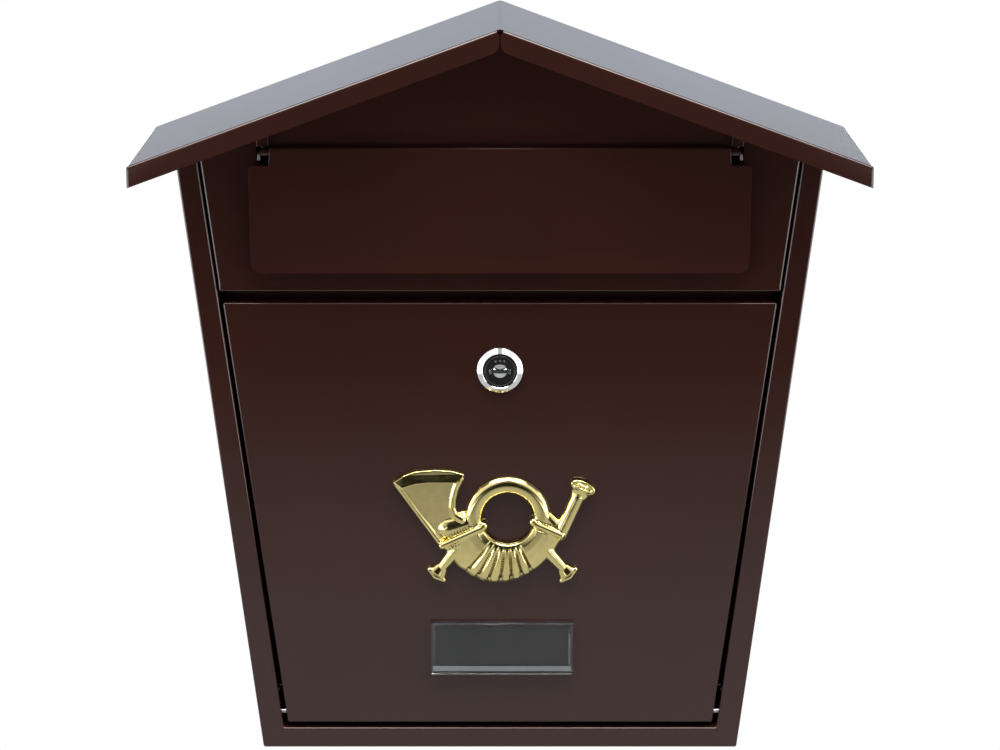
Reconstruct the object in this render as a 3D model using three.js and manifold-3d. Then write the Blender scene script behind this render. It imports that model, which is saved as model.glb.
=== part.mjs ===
// A wall mounted letter box of folded sheet steel with a gable roof, a mail flap and a drop-down door.
// Millimetres, +Z up. The wall is the plane Y = 0, the front faces -Y, and X = 0 is the middle.
// Heights below are measured from the underside of the case; the exported group is then lowered so
// that the origin lies on the wall, midway between the four fixing holes.
import * as THREE from "three";
import { mergeVertices } from "three/addons/utils/BufferGeometryUtils.js";
import Module from "manifold-3d";

const wasm = await Module();
wasm.setup();

// ---- driving dimensions ----
const SHEET = 0.8; // steel sheet
const SEAM = 0.3; // gap left between pieces that lie against each other
const CASE_DEPTH = 88;
const BASE_HALF = 124.2; // half the case's width at its underside
const TAPER = 0.1185; // widening of each side per millimetre of height
const FRAME_WIDTH = 12.1; // front flange beside the opening, at the underside
const WINDOW_TAPER = 0.1215; // widening of each side of the front opening per millimetre of height
const SILL_HEIGHT = 11; // front flange under the door
const FRAME_RETURN = 8; // depth of the opening's inturned edge

const ROOF_HALF = 182.5;
const ROOF_DEPTH = 113;
const APEX_HEIGHT = 381;
const EAVE_HEIGHT = 313.8;
const FASCIA = 10.6; // height of the roof's turned-down edges
const WELD_FLANGE = 9.5; // width of the strips that carry the roof

const LIP_HEIGHT = 246; // underside of the upper panel
const PANEL_GAP = 1.5; // between the frame's edge and the upper panel's
const STRIKER_SETBACK = 11.2; // from the front face to the strip that the cam locks behind
const STRIKER_BOTTOM = 228;
const STRIKER_HALF = 138;
const SLOT_HALF = 112;
const SLOT_BOTTOM = 268;
const SLOT_TOP = 304;

const DOOR_TOP = 240;
const DOOR_BOTTOM = 14;
const DOOR_TOP_HALF = 139.5;
const DOOR_BOTTOM_HALF = 111.2;
const DOOR_RETURN = 10;
const DOOR_PIVOT = { setback: 4, height: 19 };
const PIN_RADIUS = 1.2;
const PIN_HOLE = 1.5;

const FLAP_HALF = 124.3;
const FLAP_NECK_HALF = 114.2; // the narrower top that passes between the hinge tabs
const FLAP_PIVOT = { standoff: 4, height: 317.5 };
const FLAP_LEAN = 1.8; // degrees that the closed flap leans in at its foot
const FLAP_KICK = 12; // degrees that its lower edge is bent out again as a finger lip
const ROD_RADIUS = 0.9;
const TAB_INNER = 114.5;
const CURL_OUTER = 117.9;
const TAB_OUTER = 120.3;

const LOCK_HEIGHT = 205.1;
const EMBLEM_DEPTH = 4;
const EMBLEM_STUDS = [[-32, 134], [27, 108]];
const HOLDER = { x: 1, z: 56.1, width: 73.5, height: 28, depth: 3.5 };
const HOLDER_PEG_X = 25;
const PEG_RADIUS = 1.2;
const PEG_HOLE = 1.5;

const FIXING_X = 90;
const FIXING_LOW = 60;
const FIXING_HIGH = 270;
const FIXING_RADIUS = 3.25;
const ORIGIN_HEIGHT = (FIXING_LOW + FIXING_HIGH) / 2;

const PITCH = (APEX_HEIGHT - EAVE_HEIGHT) / ROOF_HALF; // roof slope as a ratio
const PITCH_STRETCH = Math.hypot(1, PITCH);
const FRONT = -CASE_DEPTH;

// ---- finishes ----
const finish = (color, roughness, metalness, more = {}) =>
  new THREE.MeshStandardMaterial({ color, roughness, metalness, ...more });
const BROWN = finish(0x3b2620, 0.38, 0);
const ZINC = finish(0xb9bcc0, 0.35, 1);
const CHROME = finish(0xe3e4e6, 0.12, 1);
const STEEL = finish(0x9a9da1, 0.4, 1);
const BLACK = finish(0x111112, 0.3, 0);
const GOLD = finish(0xd9b95c, 0.18, 1);
const CLEAR = finish(0xdfe3e6, 0.05, 0, { transparent: true, opacity: 0.35 });
const CARD = finish(0x35373b, 0.7, 0);

// ---- solids ----
// A closed geometry as a manifold solid, turned right side out if its profile ran the other way.
function solid(geometry) {
  const bare = geometry.index ? geometry.toNonIndexed() : geometry.clone();
  bare.deleteAttribute("normal");
  bare.deleteAttribute("uv");
  const merged = mergeVertices(bare, 1e-4);
  const triVerts = new Uint32Array(merged.index.array);
  const vertProperties = merged.attributes.position.array;
  const made = new wasm.Manifold(new wasm.Mesh({ numProp: 3, vertProperties, triVerts }));
  if (made.volume() > 0) return made;
  const turned = triVerts.slice().reverse();
  return new wasm.Manifold(new wasm.Mesh({ numProp: 3, vertProperties, triVerts: turned }));
}

const join = (...solids) => solids.reduce((whole, piece) => whole.add(piece));
const cut = (whole, ...tools) => tools.reduce((left, tool) => left.subtract(tool), whole);

function shapeOf(points) {
  return new THREE.Shape(points.map(([x, z]) => new THREE.Vector2(x, z)));
}

// An outline in X and Z, carried from y = front to y = back.
function plate(outline, front, back) {
  const shape = outline instanceof THREE.Shape ? outline : shapeOf(outline);
  const options = { depth: back - front, bevelEnabled: false, curveSegments: 12 };
  const geometry = new THREE.ExtrudeGeometry(shape, options);
  return solid(geometry.rotateX(Math.PI / 2).translate(0, back, 0));
}

// An outline in Y and Z, carried from x = left to x = right.
function bar(outline, left, right) {
  const options = { depth: right - left, bevelEnabled: false, curveSegments: 12 };
  const geometry = new THREE.ExtrudeGeometry(shapeOf(outline), options);
  const swap = new THREE.Matrix4().set(0, 0, 1, left, 1, 0, 0, 0, 0, 1, 0, 0, 0, 0, 0, 1);
  return solid(geometry.applyMatrix4(swap));
}

function block(x0, x1, y0, y1, z0, z1) {
  const box = new THREE.BoxGeometry(x1 - x0, y1 - y0, z1 - z0);
  return solid(box.translate((x0 + x1) / 2, (y0 + y1) / 2, (z0 + z1) / 2));
}

// A profile of [radius, y] points turned about the Y axis.
function turned(profile, segments = 32) {
  const points = profile.map(([r, y]) => new THREE.Vector2(r, y));
  return solid(new THREE.LatheGeometry(points, segments));
}

function rodY(radius, y0, y1, x = 0, z = 0, segments = 24) {
  const rod = new THREE.CylinderGeometry(radius, radius, y1 - y0, segments);
  return solid(rod.translate(x, (y0 + y1) / 2, z));
}

function rodX(radius, x0, x1, y = 0, z = 0, segments = 24) {
  const rod = new THREE.CylinderGeometry(radius, radius, x1 - x0, segments);
  return solid(rod.rotateZ(Math.PI / 2).translate((x0 + x1) / 2, y, z));
}

// A ring [inner, outer] about the Y axis through x, z.
function ringY(inner, outer, y0, y1, x = 0, z = 0) {
  return cut(rodY(outer, y0, y1, x, z), rodY(inner, y0 - 1, y1 + 1, x, z));
}

// A strip of sheet that follows a path in X and Z. Its thickness lies left of the path, or right if negative.
function strip(path, thickness = SHEET) {
  const normals = path.slice(1).map(([x, z], i) => {
    const [dx, dz] = [x - path[i][0], z - path[i][1]];
    const length = Math.hypot(dx, dz);
    return [-dz / length, dx / length];
  });
  const offset = path.map(([x, z], i) => {
    const a = normals[Math.max(i - 1, 0)];
    const b = normals[Math.min(i, normals.length - 1)];
    const scale = thickness / (1 + a[0] * b[0] + a[1] * b[1]);
    return [x + (a[0] + b[0]) * scale, z + (a[1] + b[1]) * scale];
  });
  return [...path, ...offset.reverse()];
}

const mirrored = (path) => [...path, ...path.map(([x, z]) => [-x, z]).reverse()];

function nodeMesh(name, made, material) {
  const { numProp, vertProperties, triVerts } = made.getMesh();
  const geometry = new THREE.BufferGeometry();
  geometry.setAttribute("position", new THREE.BufferAttribute(vertProperties, numProp));
  geometry.setIndex(new THREE.BufferAttribute(triVerts, 1));
  const mesh = new THREE.Mesh(geometry, material);
  mesh.name = name;
  return mesh;
}

function groupAt(x, y, z, ...meshes) {
  const group = new THREE.Group();
  group.position.set(x, y, z);
  group.add(...meshes);
  return group;
}

// ---- the case's slanting lines ----
const outerHalf = (z) => BASE_HALF + TAPER * z;
const windowHalf = (z) => BASE_HALF - FRAME_WIDTH + WINDOW_TAPER * z;
const panelHalf = (z) => windowHalf(z) - PANEL_GAP;
const wallHalf = (z) => outerHalf(z) - SHEET * Math.hypot(1, TAPER) - SEAM; // just inside the side wall
const doorHalf = (z) =>
  DOOR_BOTTOM_HALF + ((DOOR_TOP_HALF - DOOR_BOTTOM_HALF) * (z - DOOR_BOTTOM)) / (DOOR_TOP - DOOR_BOTTOM);

// The highest that a piece under the roof may reach at x, less an extra drop.
const ceiling = (x, drop = 0) => APEX_HEIGHT - PITCH * Math.abs(x) - SHEET * PITCH_STRETCH - SEAM - drop;

// The point where a slanting side meets the ceiling.
function underRoof(half, drop = 0) {
  const taper = half(1) - half(0);
  const z = (ceiling(0, drop) - PITCH * half(0)) / (1 + PITCH * taper);
  return [half(z), z];
}

// ---- case ----
function bodyShell() {
  const [eaveX, eaveZ] = underRoof(outerHalf);
  const flangeX = eaveX - WELD_FLANGE;
  const wrap = mirrored([[-flangeX, ceiling(flangeX)], [-eaveX, eaveZ], [-outerHalf(0), 0]]);
  const windowTop = underRoof(windowHalf);
  const edge = mirrored([[-windowTop[0], windowTop[1]], [-windowHalf(SILL_HEIGHT), SILL_HEIGHT]]);
  const face = [[-eaveX, eaveZ], [-outerHalf(0), 0], [outerHalf(0), 0], [eaveX, eaveZ], ...edge.slice().reverse()];
  const shell = join(
    plate(strip(wrap), FRONT, 0),
    plate(face, FRONT, FRONT + SHEET),
    plate(strip(edge, -SHEET), FRONT, FRONT + FRAME_RETURN),
  );
  const pivotY = FRONT + DOOR_PIVOT.setback;
  const reach = windowHalf(DOOR_PIVOT.height) + 2;
  return cut(shell, rodX(PIN_HOLE, -reach, reach, pivotY, DOOR_PIVOT.height));
}

function backPlate() {
  const flangeDepth = 12;
  const drop = (SHEET + SEAM) * PITCH_STRETCH;
  const bottom = SHEET + SEAM;
  const clearOfFlange = underRoof(outerHalf)[0] - WELD_FLANGE - 1;
  const corner = underRoof(wallHalf, drop);
  const outline = mirrored([
    [0, ceiling(0)],
    [-clearOfFlange, ceiling(clearOfFlange)],
    [-clearOfFlange, ceiling(clearOfFlange, drop)],
    [-corner[0], corner[1]],
    [-wallHalf(bottom), bottom],
  ]);
  const sides = mirrored([[-corner[0], corner[1]], [-wallHalf(bottom), bottom]]);
  const gable = [[-clearOfFlange, ceiling(clearOfFlange)], [0, ceiling(0)], [clearOfFlange, ceiling(clearOfFlange)]];
  const holes = [-FIXING_X, FIXING_X].flatMap((x) =>
    [FIXING_LOW, FIXING_HIGH].map((z) => rodY(FIXING_RADIUS, -SHEET - 1, 1, x, z)),
  );
  const pressed = join(
    plate(outline.slice(1), -SHEET, 0),
    plate(strip(sides), -flangeDepth, 0),
    plate(strip(gable, -SHEET), -flangeDepth, 0),
  );
  return cut(pressed, ...holes);
}

function roundedRectangle(x0, x1, z0, z1, radius) {
  const shape = new THREE.Shape();
  shape.moveTo(x0 + radius, z0);
  shape.absarc(x1 - radius, z0 + radius, radius, -Math.PI / 2, 0);
  shape.absarc(x1 - radius, z1 - radius, radius, 0, Math.PI / 2);
  shape.absarc(x0 + radius, z1 - radius, radius, Math.PI / 2, Math.PI);
  shape.absarc(x0 + radius, z0 + radius, radius, Math.PI, 1.5 * Math.PI);
  return shape;
}

// The tab that the flap hangs from: lanced out of the panel, bent forward and curled round the rod.
function hingeTab(side) {
  const between = (a, b) => [Math.min(side * a, side * b), Math.max(side * a, side * b)];
  const [left, right] = between(TAB_INNER, CURL_OUTER);
  const axisY = FRONT - FLAP_PIVOT.standoff;
  const axisZ = FLAP_PIVOT.height;
  const inner = ROD_RADIUS + SEAM;
  const outer = inner + SHEET;
  const strapBack = axisY + outer - 0.05;
  const strap = strip([[FRONT + SHEET / 2, 331.7], [strapBack, 327], [strapBack, axisZ + outer + 0.5]], -SHEET);
  const neck = strip([[strapBack, axisZ + outer + 1], [strapBack, axisZ]], -SHEET);
  const curl = cut(rodX(outer, left, right, axisY, axisZ), rodX(inner, left - 1, right + 1, axisY, axisZ));
  return join(bar(strap, ...between(TAB_INNER, TAB_OUTER)), bar(neck, left, right), curl);
}

function upperPanel() {
  const setback = FRONT + STRIKER_SETBACK;
  const top = underRoof(panelHalf);
  const gableX = panelHalf(EAVE_HEIGHT) - 6;
  const wingTop = 312;
  const face = mirrored([
    [-gableX, ceiling(gableX)],
    [-top[0], top[1]],
    [-panelHalf(wingTop), wingTop],
    [-panelHalf(LIP_HEIGHT), LIP_HEIGHT],
  ]);
  face.push([0, ceiling(0)]);
  const slot = plate(roundedRectangle(-SLOT_HALF, SLOT_HALF, SLOT_BOTTOM, SLOT_TOP, 4), FRONT - 1, FRONT + 2);
  const lanced = [-1, 1].map((s) => {
    const [x0, x1] = [s * (TAB_INNER - 0.4), s * (TAB_OUTER + 0.4)];
    return block(Math.min(x0, x1), Math.max(x0, x1), FRONT - 1, FRONT + 2, 311, 330);
  });
  const gable = [[-gableX, ceiling(gableX)], [0, ceiling(0)], [gableX, ceiling(gableX)]];
  const wings = [-1, 1].flatMap((s) => {
    const side = [[s * panelHalf(LIP_HEIGHT), LIP_HEIGHT], [s * panelHalf(wingTop), wingTop]];
    const wall = [[s * wallHalf(LIP_HEIGHT), LIP_HEIGHT], [s * wallHalf(wingTop), wingTop]];
    return [
      plate(strip(side, s * SHEET), FRONT, setback + SHEET),
      plate([...side, ...wall.slice().reverse()], setback, setback + SHEET),
      plate(strip(wall, s * SHEET), setback, setback + 10),
    ];
  });
  return join(
    cut(plate(face, FRONT, FRONT + SHEET), slot, ...lanced),
    plate(strip(gable, -SHEET), FRONT, FRONT + 10),
    block(-STRIKER_HALF, STRIKER_HALF, FRONT, setback + SHEET, LIP_HEIGHT, LIP_HEIGHT + SHEET),
    block(-STRIKER_HALF, STRIKER_HALF, setback, setback + SHEET, STRIKER_BOTTOM, LIP_HEIGHT + SHEET),
    ...wings,
    hingeTab(-1),
    hingeTab(1),
  );
}

function roof() {
  const eave = [[-ROOF_HALF, EAVE_HEIGHT - FASCIA], [-ROOF_HALF, EAVE_HEIGHT], [0, APEX_HEIGHT]];
  const cover = [...eave, [ROOF_HALF, EAVE_HEIGHT], [ROOF_HALF, EAVE_HEIGHT - FASCIA]];
  const fascia = [...cover, [0, APEX_HEIGHT - FASCIA]];
  const notch = [[-0.9, APEX_HEIGHT - FASCIA - 1], [0.9, APEX_HEIGHT - FASCIA - 1], [0, APEX_HEIGHT - 1.5]];
  const front = cut(
    plate(fascia, -ROOF_DEPTH, -ROOF_DEPTH + SHEET),
    plate(notch, -ROOF_DEPTH - 1, -ROOF_DEPTH + SHEET + 1),
  );
  return join(plate(strip(cover, -SHEET), -ROOF_DEPTH, 0), front);
}

// ---- mail flap, about its pivot ----
function flap() {
  const front = -2.6;
  const top = 2.5;
  const bendZ = -52;
  const footZ = -60.7;
  const footY = front - (bendZ - footZ) * Math.tan(THREE.MathUtils.degToRad(FLAP_KICK));
  const shoulder = -6.5;
  const back = 2.4;
  const sheet = strip([[back, top], [front, top], [front, bendZ], [footY, footZ]]);
  const corner = 5;
  const outline = new THREE.Shape();
  outline.moveTo(-FLAP_HALF + corner, footZ - 1);
  outline.absarc(FLAP_HALF - corner, footZ + corner, corner, -Math.PI / 2, 0);
  outline.absarc(FLAP_HALF - 1, shoulder - 1, 1, 0, Math.PI / 2);
  outline.lineTo(FLAP_NECK_HALF, shoulder);
  outline.lineTo(FLAP_NECK_HALF, top + 1);
  outline.lineTo(-FLAP_NECK_HALF, top + 1);
  outline.lineTo(-FLAP_NECK_HALF, shoulder);
  outline.absarc(-FLAP_HALF + 1, shoulder - 1, 1, Math.PI / 2, Math.PI);
  outline.absarc(-FLAP_HALF + corner, footZ + corner, corner, Math.PI, 1.5 * Math.PI);
  const cover = bar(sheet, -FLAP_HALF - 1, FLAP_HALF + 1).intersect(plate(outline, -10, 10));
  const ears = [-FLAP_NECK_HALF, FLAP_NECK_HALF - SHEET].map((x) => block(x, x + SHEET, front, back, shoulder + 1, top));
  const hole = rodX(ROD_RADIUS + SEAM, -FLAP_NECK_HALF - 1, FLAP_NECK_HALF + 1);
  return cut(join(cover, ...ears), hole);
}

function flapRod() {
  const legX = CURL_OUTER + SEAM + ROD_RADIUS;
  const leg = 4.2;
  const ends = [-legX, legX].flatMap((x) => {
    const elbow = new THREE.SphereGeometry(ROD_RADIUS, 16, 12).translate(x, 0, 0);
    const drop = new THREE.CylinderGeometry(ROD_RADIUS, ROD_RADIUS, leg, 16);
    return [solid(elbow), solid(drop.rotateX(Math.PI / 2).translate(x, 0, -leg / 2))];
  });
  return join(rodX(ROD_RADIUS, -legX, legX, 0, 0, 16), ...ends);
}

// ---- door ----
function door() {
  const outline = mirrored([[-DOOR_TOP_HALF, DOOR_TOP], [-DOOR_BOTTOM_HALF, DOOR_BOTTOM]]);
  const inset = (z) => doorHalf(z) - SHEET * Math.hypot(1, TAPER);
  const [low, high] = [DOOR_BOTTOM + SHEET, DOOR_TOP - SHEET];
  const inside = mirrored([[-inset(high), high], [-inset(low), low]]);
  const tray = cut(
    plate(outline, FRONT, FRONT + DOOR_RETURN),
    plate(inside, FRONT + SHEET, FRONT + DOOR_RETURN + 1),
  );
  const lockHole = rodY(9.5, FRONT - 1, FRONT + 2, 0, LOCK_HEIGHT).intersect(
    block(-8.3, 8.3, FRONT - 1, FRONT + 2, LOCK_HEIGHT - 10, LOCK_HEIGHT + 10),
  );
  const pegs = [...EMBLEM_STUDS, ...[-1, 1].map((s) => [HOLDER.x + s * HOLDER_PEG_X, HOLDER.z])];
  const pegHoles = pegs.map(([x, z]) => rodY(PEG_HOLE, FRONT - 1, FRONT + 2, x, z));
  const reach = doorHalf(DOOR_PIVOT.height) + 1;
  const pinHole = rodX(PIN_HOLE, -reach, reach, FRONT + DOOR_PIVOT.setback, DOOR_PIVOT.height);
  return cut(tray, lockHole, pinHole, ...pegHoles);
}

// A headed pivot pin along X, from inside the door's edge out through the frame's edge.
function doorPin(side) {
  const z = DOOR_PIVOT.height;
  const doorEdge = doorHalf(z) - SHEET - SEAM - 0.2;
  const frameEdge = windowHalf(z) + SHEET + SEAM + 0.2;
  const pin = join(
    rodX(2.4, doorEdge - 1.2, doorEdge),
    rodX(PIN_RADIUS, doorEdge - 1.2, frameEdge + 1),
    rodX(2, frameEdge, frameEdge + 1),
  );
  return side > 0 ? pin : pin.rotate([0, 0, 180]);
}

// ---- cam lock, about its axis, y from the door's front face ----
const BARREL_END = 12.4;
const PLUG_SHAFT = 6.6;
const CAM_FRONT = BARREL_END + 0.5;
const CAM_THICKNESS = 1.5;
const SCREW_SHANK = 2.2;

function lockBarrel() {
  const profile = [
    [7, BARREL_END], [9.1, BARREL_END], [9.1, -SEAM], [11.6, -SEAM], [11.6, -0.8],
    [9.1, -2.4], [8.75, -2.2], [8.75, -0.6], [7, -0.6], [7, BARREL_END],
  ];
  const ring = turned(profile, 40);
  const flats = [-1, 1].map((s) => block(s > 0 ? 8 : -12, s > 0 ? 12 : -8, -SEAM + 0.01, BARREL_END + 1, -12, 12));
  return cut(ring, ...flats);
}

const keyway = (halfWidth, depth) => block(-halfWidth, halfWidth, -4, depth, -0.85, 0.85);

function lockPlug() {
  const profile = [
    [0, 12.6], [PLUG_SHAFT, 12.6], [PLUG_SHAFT, -0.9], [8.2, -0.9], [8.2, -2],
    [7.8, -2], [7.8, -1.3], [3.8, -1.3], [3.8, -2.1], [3, -2.4], [0, -2.5],
  ];
  const tenon = block(-3, 3, 12, 14.6, -3, 3);
  const thread = rodY(SCREW_SHANK + SEAM, 5.5, 15);
  return cut(join(turned(profile), tenon), thread, keyway(5, 3.5));
}

const lockFace = () => cut(ringY(4.1, 7.5, -2.1, -1.6), keyway(5.2, 0));

function lockNut() {
  const acrossCorners = 12.7;
  const hexagon = new THREE.CylinderGeometry(acrossCorners, acrossCorners, 3.5, 6);
  return cut(solid(hexagon.translate(0, 3.65, 0)), rodY(9.5, 0, 8));
}

function lockCam() {
  const reach = 32;
  const outline = new THREE.Shape();
  outline.moveTo(0, -8);
  outline.absarc(0, 0, 8, -Math.PI / 2, Math.PI / 2);
  outline.lineTo(-reach + 5, 5.5);
  outline.absarc(-reach + 5, 0.5, 5, Math.PI / 2, Math.PI);
  outline.lineTo(-reach, -2);
  outline.absarc(-reach + 3.5, -2, 3.5, Math.PI, 1.5 * Math.PI);
  const back = CAM_FRONT + CAM_THICKNESS;
  return cut(plate(outline, CAM_FRONT, back), block(-3.3, 3.3, CAM_FRONT - 1, back + 1, -3.3, 3.3));
}

function camScrew() {
  const head = 15.7;
  const screw = turned([[0, 6.5], [SCREW_SHANK, 6.5], [SCREW_SHANK, head], [4.6, head], [4.2, 17.9], [0, 18.5]], 24);
  const recess = [block(-2.6, 2.6, 17, 19, -0.5, 0.5), block(-0.5, 0.5, 17, 19, -2.6, 2.6)];
  return cut(screw, ...recess);
}

// ---- post horn emblem, in the case's X and Z, y from the door's front face ----
function emblem() {
  const [front, back] = [-SEAM - EMBLEM_DEPTH, -SEAM];
  const centre = { x: 4, z: 127.3 };
  const ring = rodY(22, front, back, centre.x, centre.z, 40);
  const sash = new THREE.Shape();
  sash.moveTo(centre.x, centre.z);
  sash.lineTo(-29.3, 113.3);
  sash.absarc(1.5, 127, 35.3, THREE.MathUtils.degToRad(206), THREE.MathUtils.degToRad(336));
  sash.lineTo(31, 117);
  const bell = new THREE.Shape();
  bell.moveTo(-54.5, 147.5);
  bell.quadraticCurveTo(-38, 157, -18.5, 151.5);
  bell.quadraticCurveTo(-24, 136, -20.5, 129);
  bell.lineTo(-10, 122);
  bell.lineTo(-24, 106);
  bell.lineTo(-31.5, 114);
  const pipe = [[36.3, 147], [47, 142], [31, 113], [22, 122]];
  const leftTassel = [[-24, 108], [-34, 98], [-30, 94], [-19, 102]];
  const rightTassel = [[26, 108], [37.5, 98.5], [34, 94], [20, 103]];
  const pieces = [sash, bell, pipe, leftTassel, rightTassel].map((outline) => plate(outline, front, back));
  const studs = EMBLEM_STUDS.map(([x, z]) => rodY(PEG_RADIUS, back - 1, 4.5, x, z));
  const hole = rodY(13, front - 1, back + 1, centre.x, centre.z, 40);
  return join(cut(join(ring, ...pieces), hole), ...studs);
}

// A spring clip pushed on to a peg behind the door.
const pushClip = () => ringY(PEG_HOLE, 5, SHEET + SEAM, SHEET + SEAM + 0.5);

// ---- name plate, about its own middle, y from the door's front face ----
function nameHolder() {
  const [halfX, halfZ] = [HOLDER.width / 2, HOLDER.height / 2];
  const frame = block(-halfX, halfX, -SEAM - HOLDER.depth, -SEAM, -halfZ, halfZ);
  const pocket = block(-halfX + 1.5, halfX + 1, -2.5, -1.1, -halfZ + 1.6, halfZ - 1.6);
  const pegs = [-HOLDER_PEG_X, HOLDER_PEG_X].map((x) => rodY(PEG_RADIUS, -SEAM - 0.2, 4.5, x, 0));
  return join(cut(frame, pocket), ...pegs);
}

const nameCard = () => block(-HOLDER.width / 2 + 2, HOLDER.width / 2 - 1, -2.1, -1.5, -12, 12);

// ---- assembly ----
const emblemClips = EMBLEM_STUDS.map(([x, z], i) =>
  groupAt(x, 0, z, nodeMesh(`emblem_clip_${i + 1}`, pushClip(), STEEL)),
);
const holderClips = [-1, 1].map((s, i) =>
  groupAt(s * HOLDER_PEG_X, 0, 0, nodeMesh(`holder_clip_${i + 1}`, pushClip(), STEEL)),
);
const lock = groupAt(
  0,
  0,
  LOCK_HEIGHT,
  nodeMesh("lock_barrel", lockBarrel(), CHROME),
  nodeMesh("lock_washer", ringY(9.5, 12, SHEET + SEAM, SHEET + SEAM + 0.5), ZINC),
  nodeMesh("lock_nut", lockNut(), ZINC),
  nodeMesh("lock_plug", lockPlug(), CHROME),
  nodeMesh("lock_face", lockFace(), BLACK),
  nodeMesh("lock_cam", lockCam(), ZINC),
  nodeMesh("cam_washer", ringY(2.6, 5.2, 14.8, 15.4), ZINC),
  nodeMesh("cam_screw", camScrew(), ZINC),
);
const namePlate = groupAt(
  HOLDER.x,
  0,
  HOLDER.z,
  nodeMesh("name_holder", nameHolder(), CLEAR),
  nodeMesh("name_card", nameCard(), CARD),
  ...holderClips,
);
const onDoorFace = groupAt(0, FRONT, 0, lock, nodeMesh("emblem", emblem(), GOLD), ...emblemClips, namePlate);

const hinge = groupAt(
  0,
  FRONT + DOOR_PIVOT.setback,
  DOOR_PIVOT.height,
  nodeMesh("door_pin_left", doorPin(-1), ZINC),
  nodeMesh("door_pin_right", doorPin(1), ZINC),
);

const flapPivot = groupAt(0, FRONT - FLAP_PIVOT.standoff, FLAP_PIVOT.height, nodeMesh("flap_rod", flapRod(), BROWN));
const flapLeaning = groupAt(0, 0, 0, nodeMesh("flap", flap(), BROWN));
flapLeaning.rotation.x = THREE.MathUtils.degToRad(FLAP_LEAN);
flapPivot.add(flapLeaning);

const letterBox = groupAt(
  0,
  0,
  -ORIGIN_HEIGHT,
  nodeMesh("body_shell", bodyShell(), BROWN),
  nodeMesh("back_plate", backPlate(), BROWN),
  nodeMesh("upper_panel", upperPanel(), BROWN),
  nodeMesh("roof", roof(), BROWN),
  nodeMesh("door", door(), BROWN),
  hinge,
  flapPivot,
  onDoorFace,
);

const part = new THREE.Group();
part.add(letterBox);
export default part;
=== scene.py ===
"""A wall mounted letter box of folded, powder-coated sheet steel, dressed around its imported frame.

Sizes are in millimetres and heights count from the underside of the case, until Place turns them
into the frame's metres.
"""

import logging
import math
from collections.abc import Callable, Iterable, Sequence
from dataclasses import dataclass, field
from enum import Enum

import bmesh
import bpy
from bmesh.types import BMesh, BMEdge, BMFace, BMVert
from mathutils import Matrix, Vector

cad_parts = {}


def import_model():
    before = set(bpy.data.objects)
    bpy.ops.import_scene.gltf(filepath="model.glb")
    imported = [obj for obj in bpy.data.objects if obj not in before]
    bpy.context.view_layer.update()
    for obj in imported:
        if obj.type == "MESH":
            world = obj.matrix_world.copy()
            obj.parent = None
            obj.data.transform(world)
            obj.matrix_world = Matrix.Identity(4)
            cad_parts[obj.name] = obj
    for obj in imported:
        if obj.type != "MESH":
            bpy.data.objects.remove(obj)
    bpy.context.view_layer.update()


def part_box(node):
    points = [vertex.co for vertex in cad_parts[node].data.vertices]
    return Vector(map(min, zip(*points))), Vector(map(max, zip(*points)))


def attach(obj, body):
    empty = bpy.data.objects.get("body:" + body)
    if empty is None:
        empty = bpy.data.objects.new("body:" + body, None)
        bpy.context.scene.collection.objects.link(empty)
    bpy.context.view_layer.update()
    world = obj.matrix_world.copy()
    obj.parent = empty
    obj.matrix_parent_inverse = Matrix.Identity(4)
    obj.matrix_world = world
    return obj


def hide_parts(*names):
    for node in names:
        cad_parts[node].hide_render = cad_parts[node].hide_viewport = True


log = logging.getLogger("letter_box")

MM = 0.001
SHEET = 0.8
SEAM = 0.3
CUT_EDGE_ANGLE = 50
Point = tuple[float, float]


class Body(Enum):
    """The rigid bodies that pieces ride on."""

    CASE = "case"
    DOOR = "door"
    FLAP = "flap"
    LOCK = "lock_cylinder"
    CARD = "name_card"


class Slot(Enum):
    """The record's material slots."""

    BROWN = "brown_enamel"
    ZINC = "zinc_plate"
    CHROME = "chrome"
    BLACK = "black_plastic"
    GOLD = "gold_plastic"
    CLEAR = "clear_plastic"
    CARD = "grey_card"


# ---------------------------------------------------------------- finishes


def linear(code: str) -> tuple[float, float, float, float]:
    """Turns an sRGB hex colour into linear RGBA.

    Args:
        code: The colour, such as "#3b2620".

    Returns:
        Red, green, blue and an alpha of 1, linear.
    """
    channels = [int(code[i : i + 2], 16) / 255 for i in (1, 3, 5)]
    turned = [c / 12.92 if c <= 0.04045 else ((c + 0.055) / 1.055) ** 2.4 for c in channels]
    return (*turned, 1.0)


def per_metre(size_mm: float) -> float:
    """Returns the texture scale that gives a pattern features of this size."""
    return 1 / (size_mm * MM)


def add(
    tree: bpy.types.NodeTree, kind: str, values: dict | None = None, **settings: object
) -> bpy.types.Node:
    """Adds a node with its settings and links.

    Args:
        tree: The node tree to add to.
        kind: The node's type name.
        values: Input name or number to a value, or to the output socket that feeds it.
        **settings: The node's own properties.

    Returns:
        The new node.
    """
    node = tree.nodes.new(kind)
    for name, value in settings.items():
        setattr(node, name, value)
    for name, value in (values or {}).items():
        if isinstance(value, bpy.types.NodeSocket):
            tree.links.new(value, node.inputs[name])
        else:
            node.inputs[name].default_value = value
    return node


def blank(name: str) -> tuple[bpy.types.Material, bpy.types.NodeTree, bpy.types.Node]:
    """Makes a material with a Principled shader.

    Args:
        name: The material's name.

    Returns:
        The material, its node tree and the shader.
    """
    material = bpy.data.materials.new(name)
    material.use_nodes = True
    return material, material.node_tree, material.node_tree.nodes["Principled BSDF"]


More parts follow.
